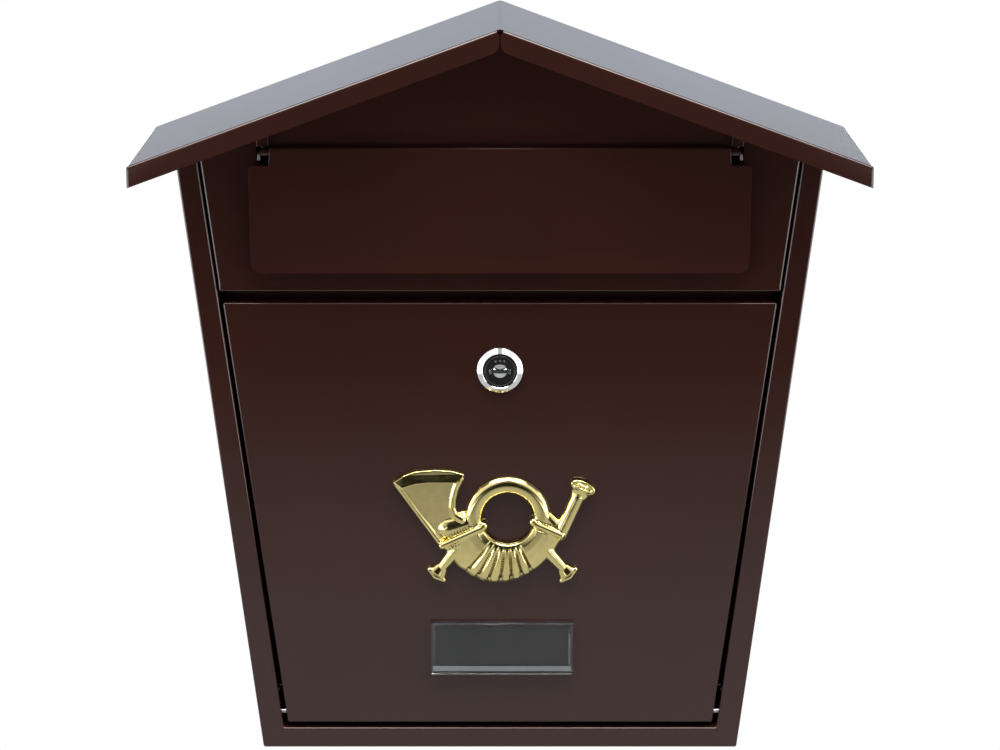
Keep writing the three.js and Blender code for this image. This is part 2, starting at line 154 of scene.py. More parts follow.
def noise(tree: bpy.types.NodeTree, size_mm: float, detail: float = 2.0) -> bpy.types.NodeSocket:
    """Adds a noise pattern on Object coordinates.

    Args:
        tree: The node tree to add to.
        size_mm: The size of its features.
        detail: How many finer patterns it carries.

    Returns:
        The pattern's value.
    """
    where = add(tree, "ShaderNodeTexCoord").outputs["Object"]
    values = {"Vector": where, "Scale": per_metre(size_mm), "Detail": detail}
    return add(tree, "ShaderNodeTexNoise", values).outputs["Fac"]


def spread(
    tree: bpy.types.NodeTree,
    source: bpy.types.NodeSocket,
    low: float,
    high: float,
    start: float = 0.3,
    end: float = 0.7,
    smooth: bool = False,
) -> bpy.types.NodeSocket:
    """Maps a range of values, by default a noise's usual one, onto another.

    Args:
        tree: The node tree to add to.
        source: The value to map.
        low: The result at the range's start.
        high: The result at its end.
        start: Where the range starts.
        end: Where it ends.
        smooth: Whether the result eases in and out.

    Returns:
        The mapped value.
    """
    values = {"Value": source, "From Min": start, "From Max": end, "To Min": low, "To Max": high}
    kind = "SMOOTHSTEP" if smooth else "LINEAR"
    return add(tree, "ShaderNodeMapRange", values, interpolation_type=kind).outputs["Result"]


def blend_colours(
    tree: bpy.types.NodeTree,
    factor: bpy.types.NodeSocket,
    low: Sequence[float] | bpy.types.NodeSocket,
    high: Sequence[float] | bpy.types.NodeSocket,
) -> bpy.types.NodeSocket:
    """Returns a colour that goes from low to high with the factor."""
    # sockets 6 and 7 of a Mix node set to RGBA are its two colours
    return add(tree, "ShaderNodeMix", {0: factor, 6: low, 7: high}, data_type="RGBA").outputs[2]


def bump(tree: bpy.types.NodeTree, height: bpy.types.NodeSocket, depth_mm: float) -> bpy.types.NodeSocket:
    """Returns the normal of a surface raised by a pattern, up to a depth."""
    return add(tree, "ShaderNodeBump", {"Height": height, "Distance": depth_mm * MM}).outputs["Normal"]


@dataclass(frozen=True)
class PowderCoat:
    """Polyester powder coat baked on steel: a smooth satin film with a faint orange peel and some dust."""

    name: str = "powder_coated_steel"
    colour: str = "#2b1511"
    patch: str = "#281410"
    dust: str = "#8f8781"
    roughness: tuple[float, float] = (0.09, 0.12)
    peel_mm: float = 2.4
    peel_depth_mm: float = 0.003
    dust_cell_mm: float = 13.0
    dust_radius_mm: float = 0.16

    def material(self) -> bpy.types.Material:
        """Builds the coat's material."""
        material, tree, shader = blank(self.name)
        mottle = spread(tree, noise(tree, 55, 1), 0, 1)
        coat = blend_colours(tree, mottle, linear(self.colour), linear(self.patch))
        where = add(tree, "ShaderNodeTexCoord").outputs["Object"]
        cells = {"Vector": where, "Scale": per_metre(self.dust_cell_mm)}
        distance = add(tree, "ShaderNodeTexVoronoi", cells).outputs["Distance"]
        speck = spread(tree, distance, 0.8, 0, 0, self.dust_radius_mm / self.dust_cell_mm)
        tree.links.new(blend_colours(tree, speck, coat, linear(self.dust)), shader.inputs["Base Color"])
        rough = spread(tree, noise(tree, 9, 3), *self.roughness)
        tree.links.new(rough, shader.inputs["Roughness"])
        peel = noise(tree, self.peel_mm, 1)
        tree.links.new(bump(tree, peel, self.peel_depth_mm), shader.inputs["Normal"])
        shader.inputs["IOR"].default_value = 1.5
        return material


@dataclass(frozen=True)
class Plating:
    """A thin metal plate over steel or plastic: its colour tints what it mirrors, and fine marks blur it."""

    name: str
    colour: str
    roughness: tuple[float, float]
    grain_mm: float
    grain_depth_mm: float

    def material(self) -> bpy.types.Material:
        """Builds the plating's material."""
        material, tree, shader = blank(self.name)
        worn = spread(tree, noise(tree, self.grain_mm * 6, 2), 0, 1)
        bright = linear(self.colour)
        dull = (*(0.88 * c for c in bright[:3]), 1.0)
        tree.links.new(blend_colours(tree, worn, bright, dull), shader.inputs["Base Color"])
        rough = spread(tree, noise(tree, self.grain_mm * 3, 3), *self.roughness)
        tree.links.new(rough, shader.inputs["Roughness"])
        grain = noise(tree, self.grain_mm, 2)
        tree.links.new(bump(tree, grain, self.grain_depth_mm), shader.inputs["Normal"])
        shader.inputs["Metallic"].default_value = 1
        return material


@dataclass(frozen=True)
class ClearPolystyrene:
    """Injection-moulded clear polystyrene: glassy faces with a slightly uneven skin."""

    name: str
    colour: str
    roughness: tuple[float, float]
    ripple_mm: float
    ripple_depth_mm: float
    clarity: float = 1.0
    index: float = 1.45

    def material(self) -> bpy.types.Material:
        """Builds the clear plastic's material."""
        material, tree, shader = blank(self.name)
        rough = spread(tree, noise(tree, self.ripple_mm, 2), *self.roughness)
        tree.links.new(rough, shader.inputs["Roughness"])
        ripple = noise(tree, self.ripple_mm, 2)
        tree.links.new(bump(tree, ripple, self.ripple_depth_mm), shader.inputs["Normal"])
        tint = spread(tree, noise(tree, 20, 1), 0, 1)
        clear = linear(self.colour)
        dull = (*(0.95 * c for c in clear[:3]), 1.0)
        tree.links.new(blend_colours(tree, tint, clear, dull), shader.inputs["Base Color"])
        shader.inputs["Transmission Weight"].default_value = self.clarity
        shader.inputs["IOR"].default_value = self.index
        return material


@dataclass(frozen=True)
class Matt:
    """A dull, non-metallic surface with a fine tooth, such as printed card or moulded black plastic."""

    name: str
    colour: str
    patch: str
    roughness: tuple[float, float]
    grain_mm: float
    grain_depth_mm: float
    gloss: float = 0.5

    def material(self) -> bpy.types.Material:
        """Builds the surface's material."""
        material, tree, shader = blank(self.name)
        fleck = spread(tree, noise(tree, self.grain_mm * 2, 3), 0, 1)
        tone = blend_colours(tree, fleck, linear(self.colour), linear(self.patch))
        tree.links.new(tone, shader.inputs["Base Color"])
        rough = spread(tree, noise(tree, self.grain_mm * 5, 2), *self.roughness)
        tree.links.new(rough, shader.inputs["Roughness"])
        grain = noise(tree, self.grain_mm, 2)
        tree.links.new(bump(tree, grain, self.grain_depth_mm), shader.inputs["Normal"])
        shader.inputs["Specular IOR Level"].default_value = self.gloss
        return material


Finish = PowderCoat | Plating | ClearPolystyrene | Matt

BROWN_COAT = PowderCoat()
ZINC = Plating("zinc_plated_steel", "#b9bcc1", (0.28, 0.42), 0.8, 0.004)
CHROME = Plating("chrome_plated_zinc", "#e4e5e7", (0.07, 0.13), 0.5, 0.0006)
GOLD_FILM = Plating("gold_metallised_abs", "#e0d18f", (0.1, 0.17), 1.1, 0.004)
GOLD_SATIN = Plating("gold_metallised_abs_satin", "#d6c68a", (0.3, 0.38), 0.6, 0.006)
# dark gold: painted shade for the stitches, whose dimples mirror dark surroundings
GOLD_PAINTED_SHADE = Plating("gold_metallised_abs_painted_shade", "#40361c", (0.25, 0.4), 0.5, 0.004)
CLEAR_PLASTIC = ClearPolystyrene("clear_polystyrene", "#f4f6f7", (0.02, 0.06), 3.5, 0.006)
FROSTED_PLASTIC = ClearPolystyrene("frosted_polystyrene", "#c6c9cc", (0.3, 0.5), 1.4, 0.05, 0.8)
GREY_CARD = Matt("grey_card_stock", "#1d1d20", "#19191b", (0.5, 0.65), 0.4, 0.01, 0.15)
# black plastic for the lock's face, and painted shade in the lock's ring groove
BLACK_FACE_AND_GROOVE_SHADE = Matt("black_abs_and_groove_shade", "#0c0c0d", "#101011", (0.22, 0.34), 0.5, 0.003)
WHITE_INK = Matt("white_ink", "#6d6b66", "#5f5d58", (0.5, 0.6), 0.2, 0.002)


class Paints:
    """Makes each finish's material once."""

    def __init__(self) -> None:
        """Starts with no materials made."""
        self._made: dict[str, bpy.types.Material] = {}

    def of(self, finish: Finish) -> bpy.types.Material:
        """Returns the finish's material, built the first time that it's asked for."""
        if finish.name not in self._made:
            self._made[finish.name] = finish.material()
        return self._made[finish.name]


# ---------------------------------------------------------------- mesh work


def polygon(bm: BMesh, points: Iterable[Sequence[float]]) -> BMFace:
    """Adds one face through these points."""
    return bm.faces.new([bm.verts.new(p) for p in points])


def both_sides(path: Sequence[Point]) -> list[Point]:
    """Carries a path of x and z on through its mirror image in x."""
    return [*path, *((-x, z) for x, z in reversed(path))]


def bent(bm: BMesh, edges: Iterable[BMEdge], radius: float, segments: int = 4) -> None:
    """Rounds a fold in the sheet.

    Args:
        bm: The mesh.
        edges: The folds' edges.
        radius: The outside radius.
        segments: The steps of the round.
    """
    bmesh.ops.bevel(
        bm, geom=list(edges), offset=radius, segments=segments, profile=0.5, affect="EDGES", material=-1
    )


def rounded_corners(bm: BMesh, verts: Iterable[BMVert], radius: float, segments: int = 8) -> None:
    """Rounds the corners of a flat outline."""
    bmesh.ops.bevel(
        bm, geom=list(verts), offset=radius, segments=segments, profile=0.5, affect="VERTICES", material=-1
    )


def folded(bm: BMesh, edges: Iterable[BMEdge], shift: Sequence[float]) -> list[BMEdge]:
    """Folds a new strip of sheet out from open edges.

    Args:
        bm: The mesh.
        edges: The edges to fold from.
        shift: How far the strip reaches.

    Returns:
        The strip's far edges.
    """
    made = bmesh.ops.extrude_edge_only(bm, edges=list(edges))["geom"]
    verts = [v for v in made if isinstance(v, BMVert)]
    bmesh.ops.translate(bm, verts=verts, vec=Vector(shift))
    return [e for e in made if isinstance(e, BMEdge) and all(v in verts for v in e.verts)]


def edges_where(bm: BMesh, test: Callable[[Vector, Vector], bool]) -> list[BMEdge]:
    """Returns the edges whose two ends pass the test."""
    return [e for e in bm.edges if test(e.verts[0].co, e.verts[1].co)]


def near(a: float, b: float) -> bool:
    """Tells whether two lengths are the same to a hundredth of a millimetre."""
    return abs(a - b) < 0.01


def face_front(bm: BMesh, front: float) -> None:
    """Makes all faces agree, with the front plane's faces looking along -Y.

    Args:
        bm: The mesh.
        front: The front plane's y.
    """
    bmesh.ops.recalc_face_normals(bm, faces=bm.faces)
    bm.normal_update()
    flat = [f for f in bm.faces if all(near(v.co.y, front) for v in f.verts)]
    if sum(f.normal.y * f.calc_area() for f in flat) > 0:
        bmesh.ops.reverse_faces(bm, faces=bm.faces)


def softened(bm: BMesh, radius: float, segments: int = 2, angle: float = 30) -> BMesh:
    """Breaks a mesh's sharp edges.

    Args:
        bm: The mesh.
        radius: The radius that they are broken to.
        segments: The steps of the round.
        angle: Edges sharper than this, in degrees, are broken.

    Returns:
        The same mesh.
    """
    sharp = [e for e in bm.edges if e.is_manifold and e.calc_face_angle() > math.radians(angle)]
    bent(bm, sharp, radius, segments)
    return bm


def turned(profile: Sequence[Point], steps: int = 72, edge: float = 0) -> BMesh:
    """Turns a profile about the Y axis.

    Args:
        profile: Points of radius and Y, closed on itself or with both ends on the axis.
        steps: The facets round the turn.
        edge: The radius that its sharp edges are broken to.

    Returns:
        The closed solid.
    """
    bm = bmesh.new()
    closed = profile[0] == profile[-1]
    verts = [bm.verts.new((r, y, 0)) for r, y in (profile[:-1] if closed else profile)]
    edges = [bm.edges.new(pair) for pair in zip(verts, verts[1:])]
    if closed:
        edges.append(bm.edges.new((verts[-1], verts[0])))
    bmesh.ops.spin(
        bm, geom=verts + edges, axis=(0, 1, 0), cent=(0, 0, 0), angle=math.tau, steps=steps, use_merge=True
    )
    bmesh.ops.remove_doubles(bm, verts=bm.verts, dist=1e-4)
    bmesh.ops.dissolve_degenerate(bm, edges=bm.edges, dist=1e-5)
    bmesh.ops.recalc_face_normals(bm, faces=bm.faces)
    return softened(bm, edge) if edge else bm


def block(low: Sequence[float], high: Sequence[float], edge: float = 0, segments: int = 3) -> BMesh:
    """Makes a block between two corners.

    Args:
        low: The lowest corner.
        high: The highest corner.
        edge: The radius that its edges are broken to.
        segments: The steps of the round.

    Returns:
        The block.
    """
    bm = bmesh.new()
    size = Vector(high) - Vector(low)
    middle = (Vector(high) + Vector(low)) / 2
    matrix = Matrix.Translation(middle) @ Matrix.Diagonal((*size, 1))
    bmesh.ops.create_cube(bm, size=1, matrix=matrix)
    if edge:
        bent(bm, bm.edges, edge, segments)
    return bm


def rod(
    start: Sequence[float],
    end: Sequence[float],
    radius: float,
    end_radius: float | None = None,
    steps: int = 24,
) -> BMesh:
    """Makes a round rod between two points.

    Args:
        start: The middle of its first end.
        end: The middle of its other end.
        radius: Its radius at the start.
        end_radius: Its radius at the end, if it tapers.
        steps: The facets round it.

    Returns:
        The rod.
    """
    bm = bmesh.new()
    way = Vector(end) - Vector(start)
    turn = way.to_track_quat("Z", "Y").to_matrix().to_4x4()
    matrix = Matrix.Translation((Vector(start) + Vector(end)) / 2) @ turn
    far = radius if end_radius is None else end_radius
    bmesh.ops.create_cone(
        bm, cap_ends=True, segments=steps, radius1=radius, radius2=far, depth=way.length, matrix=matrix
    )
    return bm


def ball(at: Sequence[float], radius: float, detail: int = 3) -> BMesh:
    """Makes a ball."""
    bm = bmesh.new()
    bmesh.ops.create_icosphere(bm, subdivisions=detail, radius=radius, matrix=Matrix.Translation(at))
    return bm


def plate(outline: Sequence[Point], front: float, back: float) -> BMesh:
    """Makes a flat plate.

    Args:
        outline: Its corners' x and z.
        front: The y of its front face.
        back: The y of its rear face.

    Returns:
        The plate.
    """
    bm = bmesh.new()
    face = polygon(bm, [(x, front, z) for x, z in outline])
    made = bmesh.ops.extrude_face_region(bm, geom=[face])["geom"]
    bmesh.ops.translate(bm, verts=[v for v in made if isinstance(v, BMVert)], vec=(0, back - front, 0))
    bmesh.ops.recalc_face_normals(bm, faces=bm.faces)
    return bm


def arc(cx: float, cz: float, radius: float, start: float, end: float, steps: int = 24) -> list[Point]:
    """Returns points of x and z along an arc between two angles in degrees."""
    turns = [math.radians(start + (end - start) * i / steps) for i in range(steps + 1)]
    return [(cx + radius * math.cos(t), cz + radius * math.sin(t)) for t in turns]


def joined(*parts: BMesh) -> BMesh:
    """Gathers several meshes into the first.

    Args:
        *parts: The meshes, which may overlap.

    Returns:
        The first mesh, with the others in it.
    """
    whole = parts[0]
    for part in parts[1:]:
        mesh = bpy.data.meshes.new("part")
        part.to_mesh(mesh)
        part.free()
        whole.from_mesh(mesh)
        bpy.data.meshes.remove(mesh)
    return whole


def moved(bm: BMesh, shift: Sequence[float]) -> BMesh:
    """Moves a mesh and returns it."""
    bmesh.ops.translate(bm, verts=bm.verts, vec=Vector(shift))
    return bm


def swung(bm: BMesh, degrees: float, axis: str, centre: Sequence[float] = (0, 0, 0)) -> BMesh:
    """Turns a mesh about an axis through a centre and returns it."""
    bmesh.ops.rotate(bm, verts=bm.verts, cent=centre, matrix=Matrix.Rotation(math.radians(degrees), 3, axis))
    return bm


@dataclass
class Place:
    """Where the case stands in the frame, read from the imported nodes."""

    ground: float = 0.0
    front: float = 0.0

    def __post_init__(self) -> None:
        """Reads the case's underside and front face."""
        low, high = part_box("body_shell")
        self.ground = low.z / MM
        self.front = low.y / MM
        depth = high.y / MM - self.front
        log.info("underside at %.1f, front at %.1f, depth %.1f", self.ground, self.front, depth)

    def matrix(self) -> Matrix:
        """Returns the turn from case millimetres to the frame's metres."""
        return Matrix.Scale(MM, 4) @ Matrix.Translation((0, 0, self.ground))


class Workshop:
    """Turns meshes into finished pieces that ride on their bodies."""

    def __init__(self, place: Place, paints: Paints) -> None:
        """Keeps the case's place and the finishes."""
        self.place = place
        self.paints = paints
        self.count = 0

    def object_of(self, name: str, bm: BMesh) -> bpy.types.Object:
        """Makes a scene object, still in case millimetres.

        Args:
            name: The object's name.
            bm: Its mesh, which is used up.

        Returns:
            The object.
        """
        mesh = bpy.data.meshes.new(name)
        bm.to_mesh(mesh)
        bm.free()
        made = bpy.data.objects.new(name, mesh)
        bpy.context.scene.collection.objects.link(made)
        return made

    def applied(self, piece: bpy.types.Object) -> None:
        """Applies a piece's modifiers to its mesh.

        Args:
            piece: The piece.
        """
        bpy.context.view_layer.update()
        graph = bpy.context.evaluated_depsgraph_get()
        mesh = bpy.data.meshes.new_from_object(piece.evaluated_get(graph))
        piece.modifiers.clear()
        old = piece.data
        piece.data = mesh
        mesh.name = piece.name
        bpy.data.meshes.remove(old)

    def thickened(self, piece: bpy.types.Object, thickness: float = SHEET, offset: float = -1) -> None:
        """Gives a folded surface its thickness.

        Args:
            piece: The piece.
            thickness: The sheet's thickness.
            offset: -1 puts the sheet behind its faces, 0 puts half of it on each side.
        """
        solid = piece.modifiers.new("thickness", "SOLIDIFY")
        solid.thickness = thickness
        solid.offset = offset
        solid.use_even_offset = True
        self.applied(piece)

    def eased(self, piece: bpy.types.Object, radius: float) -> None:
        """Rounds the cut edges of a piece's sheet.

        Args:
            piece: The piece.
            radius: The radius that they are broken to.
        """
        edge = piece.modifiers.new("broken_edges", "BEVEL")
        edge.width = radius
        edge.segments = 2
        edge.limit_method = "ANGLE"
        edge.angle_limit = math.radians(CUT_EDGE_ANGLE)
        self.applied(piece)

    def pierced(self, piece: bpy.types.Object, cutters: Iterable[BMesh]) -> None:
        """Cuts holes in a piece.

        Args:
            piece: The piece.
            cutters: The holes' shapes, which are used up.
        """
        for cutter in cutters:
            tool = self.object_of("cutter", cutter)
            cut = piece.modifiers.new("hole", "BOOLEAN")
            cut.operation = "DIFFERENCE"
            cut.solver = "EXACT"
            cut.object = tool
            self.applied(piece)
            bpy.data.objects.remove(tool)

    def finished(
        self,
        piece: bpy.types.Object,
        body: Body,
        finish: Finish,
        slot: Slot,
        replaces: Sequence[str] = (),
        angle: float = 34,
    ) -> bpy.types.Object:
        """Places, dresses and mounts a piece.

        Args:
            piece: The piece, in case millimetres.
            body: The body that it rides on.
            finish: Its finish.
            slot: The record's material slot, which is not used.
            replaces: The CAD nodes that it stands for.
            angle: Edges sharper than this, in degrees, stay crisp.

        Returns:
            The finished piece.
        """
        mesh = piece.data
        mesh.transform(self.place.matrix())
        mesh.shade_smooth()
        mesh.set_sharp_from_angle(angle=math.radians(angle))
        # big flat faces keep their own normal, so that only the bends turn the light
        flat = piece.modifiers.new("flats", "WEIGHTED_NORMAL")
        flat.keep_sharp = True
        flat.weight = 100
        self.applied(piece)
        piece.data.materials.clear()
        piece.data.materials.append(self.paints.of(finish))
        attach(piece, body.value)
        if replaces:
            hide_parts(*replaces)
        self.count += 1
        log.info("%s: %d faces on %s", piece.name, len(piece.data.polygons), body.value)
        return piece


# ---------------------------------------------------------------- case


@dataclass
class Case:
    """The fixed sheet-metal case: shell, back, upper panel, hinge tabs, roof, flap rod and door pins."""

    shop: Workshop
    base_half: float = 124.2
    taper: float = 0.1185
    frame_width: float = 12.1
    window_taper: float = 0.1215
    sill: float = 11.0
    frame_return: float = 8.0
    weld_flange: float = 9.5
    roof_half: float = 182.5
    roof_depth: float = 113.0
    apex: float = 381.0
    eave: float = 313.8
    fascia: float = 10.6
    panel_gap: float = 1.1
    lip: float = 246.0
    setback: float = 11.2
    drip: tuple[float, float] = (5.0, 0.8)
    striker_half: float = 138.0
    striker_bottom: float = 228.0
    wing_top: float = 312.0
    slot: tuple[float, float, float] = (112.0, 268.0, 304.0)
    fixing: tuple[float, float, float] = (90.0, 60.0, 270.0)
    door_pivot: tuple[float, float] = (4.0, 19.0)
    flap_pivot: tuple[float, float] = (4.0, 317.5)
    tab: tuple[float, float, float] = (114.5, 117.9, 120.3)
    tab_root: float = 331.7
    tab_knee: float = 4.7
    tab_drop: float = 7.0
    tab_curl: float = 300.0
    tab_edge: float = 0.18
    lance: tuple[float, float] = (311.0, 330.0)
    slot_corner: float = 4.0
    rod_radius: float = 0.9
    rod_elbow: float = 1.3
    rod_leg: float = 4.2
    pin_hole: float = 1.5
    fixing_hole: float = 3.25
    back_flange: float = 11.2
    joggle: float = 10.0
    roof_notch: float = 1.9
    roof_relief: float = 1.8
    bend: float = 1.1
    back_bend: float = 1.2
    roof_bend: float = 1.5
    front: float = field(init=False)
    pitch: float = field(init=False)

    def __post_init__(self) -> None:
        """Works out the front plane and the roof's slope."""
        self.front = self.shop.place.front
        self.pitch = (self.apex - self.eave) / self.roof_half

    def outer(self, z: float) -> float:
        """Returns half the case's width at a height."""
        return self.base_half + self.taper * z

    def window(self, z: float) -> float:
        """Returns half the front opening's width at a height."""
        return self.base_half - self.frame_width + self.window_taper * z

    def panel(self, z: float) -> float:
        """Returns half the upper panel's width at a height."""
        return self.window(z) - self.panel_gap

    def wall(self, z: float) -> float:
        """Returns half the width just inside the side walls at a height."""
        return self.outer(z) - SHEET * math.hypot(1, self.taper) - SEAM

    def ceiling(self, x: float, drop: float = 0) -> float:
        """Returns the height just under the roof sheet at x, less an extra drop."""
        return self.apex - self.pitch * abs(x) - SHEET * math.hypot(1, self.pitch) - SEAM - drop

    def under_roof(self, half: Callable[[float], float], drop: float = 0) -> Point:
        """Finds where a slanting side meets the underside of the roof.

        Args:
            half: Gives half the side's width at a height.
            drop: An extra drop below the roof's sheet.

        Returns:
            The point's x and z, on the right.
        """
        taper = half(1) - half(0)
        z = (self.ceiling(0, drop) - self.pitch * half(0)) / (1 + self.pitch * taper)
        return half(z), z

    def shell(self) -> None:
        """Folds the front flanges, side walls, bottom and weld flanges from one sheet."""
        bm = bmesh.new()
        front = self.front
        top_x, top_z = self.under_roof(self.outer)
        outline = both_sides([(-top_x, top_z), (-self.outer(0), 0)])
        opening = both_sides([self._left(self.under_roof(self.window)), (-self.window(self.sill), self.sill)])
        outer = [bm.verts.new((x, front, z)) for x, z in outline]
        inner = [bm.verts.new((x, front, z)) for x, z in opening]
        for i in range(3):
            bm.faces.new([outer[i], outer[i + 1], inner[i + 1], inner[i]])
        outer_folds = [bm.edges.get(pair) for pair in zip(outer, outer[1:])]
        inner_folds = [bm.edges.get(pair) for pair in zip(inner, inner[1:])]
        folded(bm, outer_folds, (0, -front, 0))
        folded(bm, inner_folds, (0, self.frame_return, 0))
        wall_tops = edges_where(
            bm,
            lambda a, b: abs(a.y - b.y) > 1
            and near(abs(a.x), top_x)
            and near(a.z, b.z)
            and near(a.z, top_z),
        )
        for edge in wall_tops:
            inward = -math.copysign(self.weld_flange, edge.verts[0].co.x)
            folded(bm, [edge], (inward, 0, self.weld_flange * self.pitch))
        corners = edges_where(bm, lambda a, b: abs(a.y - b.y) > 1 and near(a.x, b.x) and a.z < self.sill + 1)
        bent(bm, outer_folds + inner_folds + corners + wall_tops, self.bend)
        face_front(bm, front)
        shell = self.shop.object_of("case_shell", bm)
        self.shop.thickened(shell)
        setback, height = self.door_pivot
        reach = self.window(height) + 2
        left, right = (-reach, front + setback, height), (reach, front + setback, height)
        self.shop.pierced(shell, [rod(left, right, self.pin_hole)])
        self.shop.finished(shell, Body.CASE, BROWN_COAT, Slot.BROWN, ["body_shell"])

    def _left(self, point: Point) -> Point:
        """Returns a point's mirror image in x."""
        return -point[0], point[1]

    def back_plate(self) -> None:
        """Folds the back with its side flanges and gable flange, and pierces its fixing holes."""
        bm = bmesh.new()
        inside = -SHEET
        drop = (SHEET + SEAM) * math.hypot(1, self.pitch)
        bottom = SHEET + SEAM
        clear = self.under_roof(self.outer)[0] - self.weld_flange - 1
        corner_x, corner_z = self.under_roof(self.wall, drop)
        path = [
            (-clear, self.ceiling(clear)),
            (-clear, self.ceiling(clear, drop)),
            (-corner_x + SHEET, corner_z),
            (-self.wall(bottom) + SHEET, bottom),
        ]
        face = polygon(bm, [(x, inside, z) for x, z in [(0, self.ceiling(0)), *both_sides(path)]])
        gable = [e for e in face.edges if near(max(v.co.z for v in e.verts), self.ceiling(0))]
        sides = [
            e
            for e in face.edges
            if min(v.co.z for v in e.verts) < bottom + 1 < max(v.co.z for v in e.verts)
        ]
        folded(bm, gable + sides, (0, -self.back_flange, 0))
        bent(bm, gable + sides, self.back_bend)
        face_front(bm, inside)
        back = self.shop.object_of("case_back", bm)
        self.shop.thickened(back)
        x, low, high = self.fixing
        holes = [
            rod((side * x, -3, z), (side * x, 2, z), self.fixing_hole, steps=32)
            for side in (-1, 1)
            for z in (low, high)
        ]
        self.shop.pierced(back, holes)
        self.shop.finished(back, Body.CASE, BROWN_COAT, Slot.BROWN, ["back_plate"])

    def upper_panel(self) -> None:
        """Folds the panel above the door, with its lip, striker strip and wings, and cuts its openings."""
        bm = bmesh.new()
        front = self.front
        gable_x = self.panel(self.eave) - 6
        path = [
            (-gable_x, self.ceiling(gable_x)),
            self._left(self.under_roof(self.panel)),
            (-self.panel(self.wing_top), self.wing_top),
            (-self.panel(self.lip), self.lip),
            (-self.striker_half, self.lip),
        ]
        face = polygon(bm, [(x, front, z) for x, z in [(0, self.ceiling(0)), *both_sides(path)]])
        low_folds = [e for e in face.edges if all(v.co.z < self.wing_top + 0.01 for v in e.verts)]
        gable = [e for e in face.edges if near(max(v.co.z for v in e.verts), self.ceiling(0))]
        rear = folded(bm, low_folds, (0, self.setback, 0))
        folded(bm, gable, (0, self.joggle, 0))
        strip = [e for e in rear if all(near(abs(v.co.x), self.striker_half) for v in e.verts)]
        folded(bm, strip, (0, 0, self.striker_bottom - self.lip))
        wing_folds = []
        for side in (-1, 1):
            edge = [e for e in rear if all(side * v.co.x > self.striker_half - 1 for v in e.verts)]
            upright = [e for e in edge if e not in strip and abs(e.verts[0].co.z - e.verts[1].co.z) > 1]
            reach = self.wall(self.lip) - self.panel(self.lip) - 0.2
            rim = folded(bm, upright, (side * reach, 0, 0))
            folded(bm, rim, (0, self.joggle, 0))
            wing_folds += upright + rim
        corners = edges_where(
            bm,
            lambda a, b: near(a.z, self.lip)
            and near(b.z, self.lip)
            and near(abs(a.x), self.panel(self.lip))
            and near(a.x, b.x)
            and abs(a.y - b.y) > 1,
        )
        bent(bm, [e for e in low_folds + gable + corners + strip + wing_folds if e.is_valid], self.bend)
        face_front(bm, front)
        self._kick_lip(bm)
        panel = self.shop.object_of("upper_panel_sheet", bm)
        self.shop.thickened(panel)
        half, low, high = self.slot
        mouth = block((-half, front - 2, low), (half, front + 4, high))
        through = [e for e in mouth.edges if abs(e.verts[0].co.y - e.verts[1].co.y) > 1]
        bent(mouth, through, self.slot_corner, 8)
        x0, x1 = self.tab[0] - 0.4, self.tab[2] + 0.4
        z0, z1 = self.lance
        lanced = [
            block((min(s * x0, s * x1), front - 2, z0), (max(s * x0, s * x1), front + 4, z1))
            for s in (-1, 1)
        ]
        self.shop.pierced(panel, [mouth, *lanced])
        self.shop.finished(panel, Body.CASE, BROWN_COAT, Slot.BROWN, ["upper_panel"])

    def _kick_lip(self, bm: BMesh) -> None:
        """Leans the panel's lowest stretch forward, so that water drips clear of the door.

        Args:
            bm: The folded panel.
        """
        crease = self.lip + self.drip[0]
        everything = list(bm.verts) + list(bm.edges) + list(bm.faces)
        bmesh.ops.bisect_plane(bm, geom=everything, dist=1e-3, plane_co=(0, 0, crease), plane_no=(0, 0, 1))
        for vert in bm.verts:
            ahead = vert.co.y < self.front + 2 and vert.co.z < crease
            if ahead:
                vert.co.y -= self.drip[1] * min(1, (crease - vert.co.z) / self.drip[0])

    def hinge_tab(self, side: int) -> None:
        """Bends one tab out of the panel and curls it round the flap's rod.

        Args:
            side: -1 for the left one, 1 for the right one.
        """
        bm = bmesh.new()
        standoff, axis_z = self.flap_pivot
        axis_y = self.front - standoff
        curl = self.rod_radius + SEAM + SHEET / 2
        root = [bm.verts.new((side * x, self.front + SHEET / 2, self.tab_root)) for x in self.tab]
        edges = [bm.edges.new(pair) for pair in zip(root, root[1:])]
        strap_y = axis_y + curl
        knee = folded(bm, edges, (0, strap_y - self.front - SHEET / 2, -self.tab_knee))
        foot = folded(bm, knee, (0, 0, -self.tab_drop))
        inner = [e for e in foot if all(abs(v.co.x) < self.tab[1] + 0.01 for v in e.verts)]
        neck = folded(bm, inner, (0, 0, axis_z - self.tab_root + self.tab_knee + self.tab_drop))
        verts = list({v for e in neck for v in e.verts})
        curled = -math.radians(self.tab_curl)
        bmesh.ops.spin(
            bm, geom=verts + neck, axis=(1, 0, 0), cent=(0, axis_y, axis_z), angle=curled, steps=18
        )
        bmesh.ops.remove_doubles(bm, verts=bm.verts, dist=1e-3)
        bent(bm, [e for e in knee if e.is_valid], 1.0)
        bmesh.ops.recalc_face_normals(bm, faces=bm.faces)
        name = "left" if side < 0 else "right"
        tab = self.shop.object_of(f"flap_hinge_tab_{name}", bm)
        self.shop.thickened(tab, offset=0)
        self.shop.eased(tab, self.tab_edge)
        self.shop.finished(tab, Body.CASE, BROWN_COAT, Slot.BROWN)

    def slope(self, x: float) -> float:
        """Returns the height of the roof's upper face at x."""
        return self.apex - self.pitch * abs(x)

    def _ridge(self, radius: float = 4.0, steps: int = 3) -> list[Point]:
        """Rounds the roof's ridge.

        Args:
            radius: The ridge's outside radius.
            steps: The facets of its right half.

        Returns:
            The x and z of its right half's points, from the middle outwards.
        """
        lean = math.atan(self.pitch)
        centre = self.apex - radius / math.cos(lean)
        turns = [lean * i / steps for i in range(steps + 1)]
        return [(radius * math.sin(t), centre + radius * math.cos(t)) for t in turns]

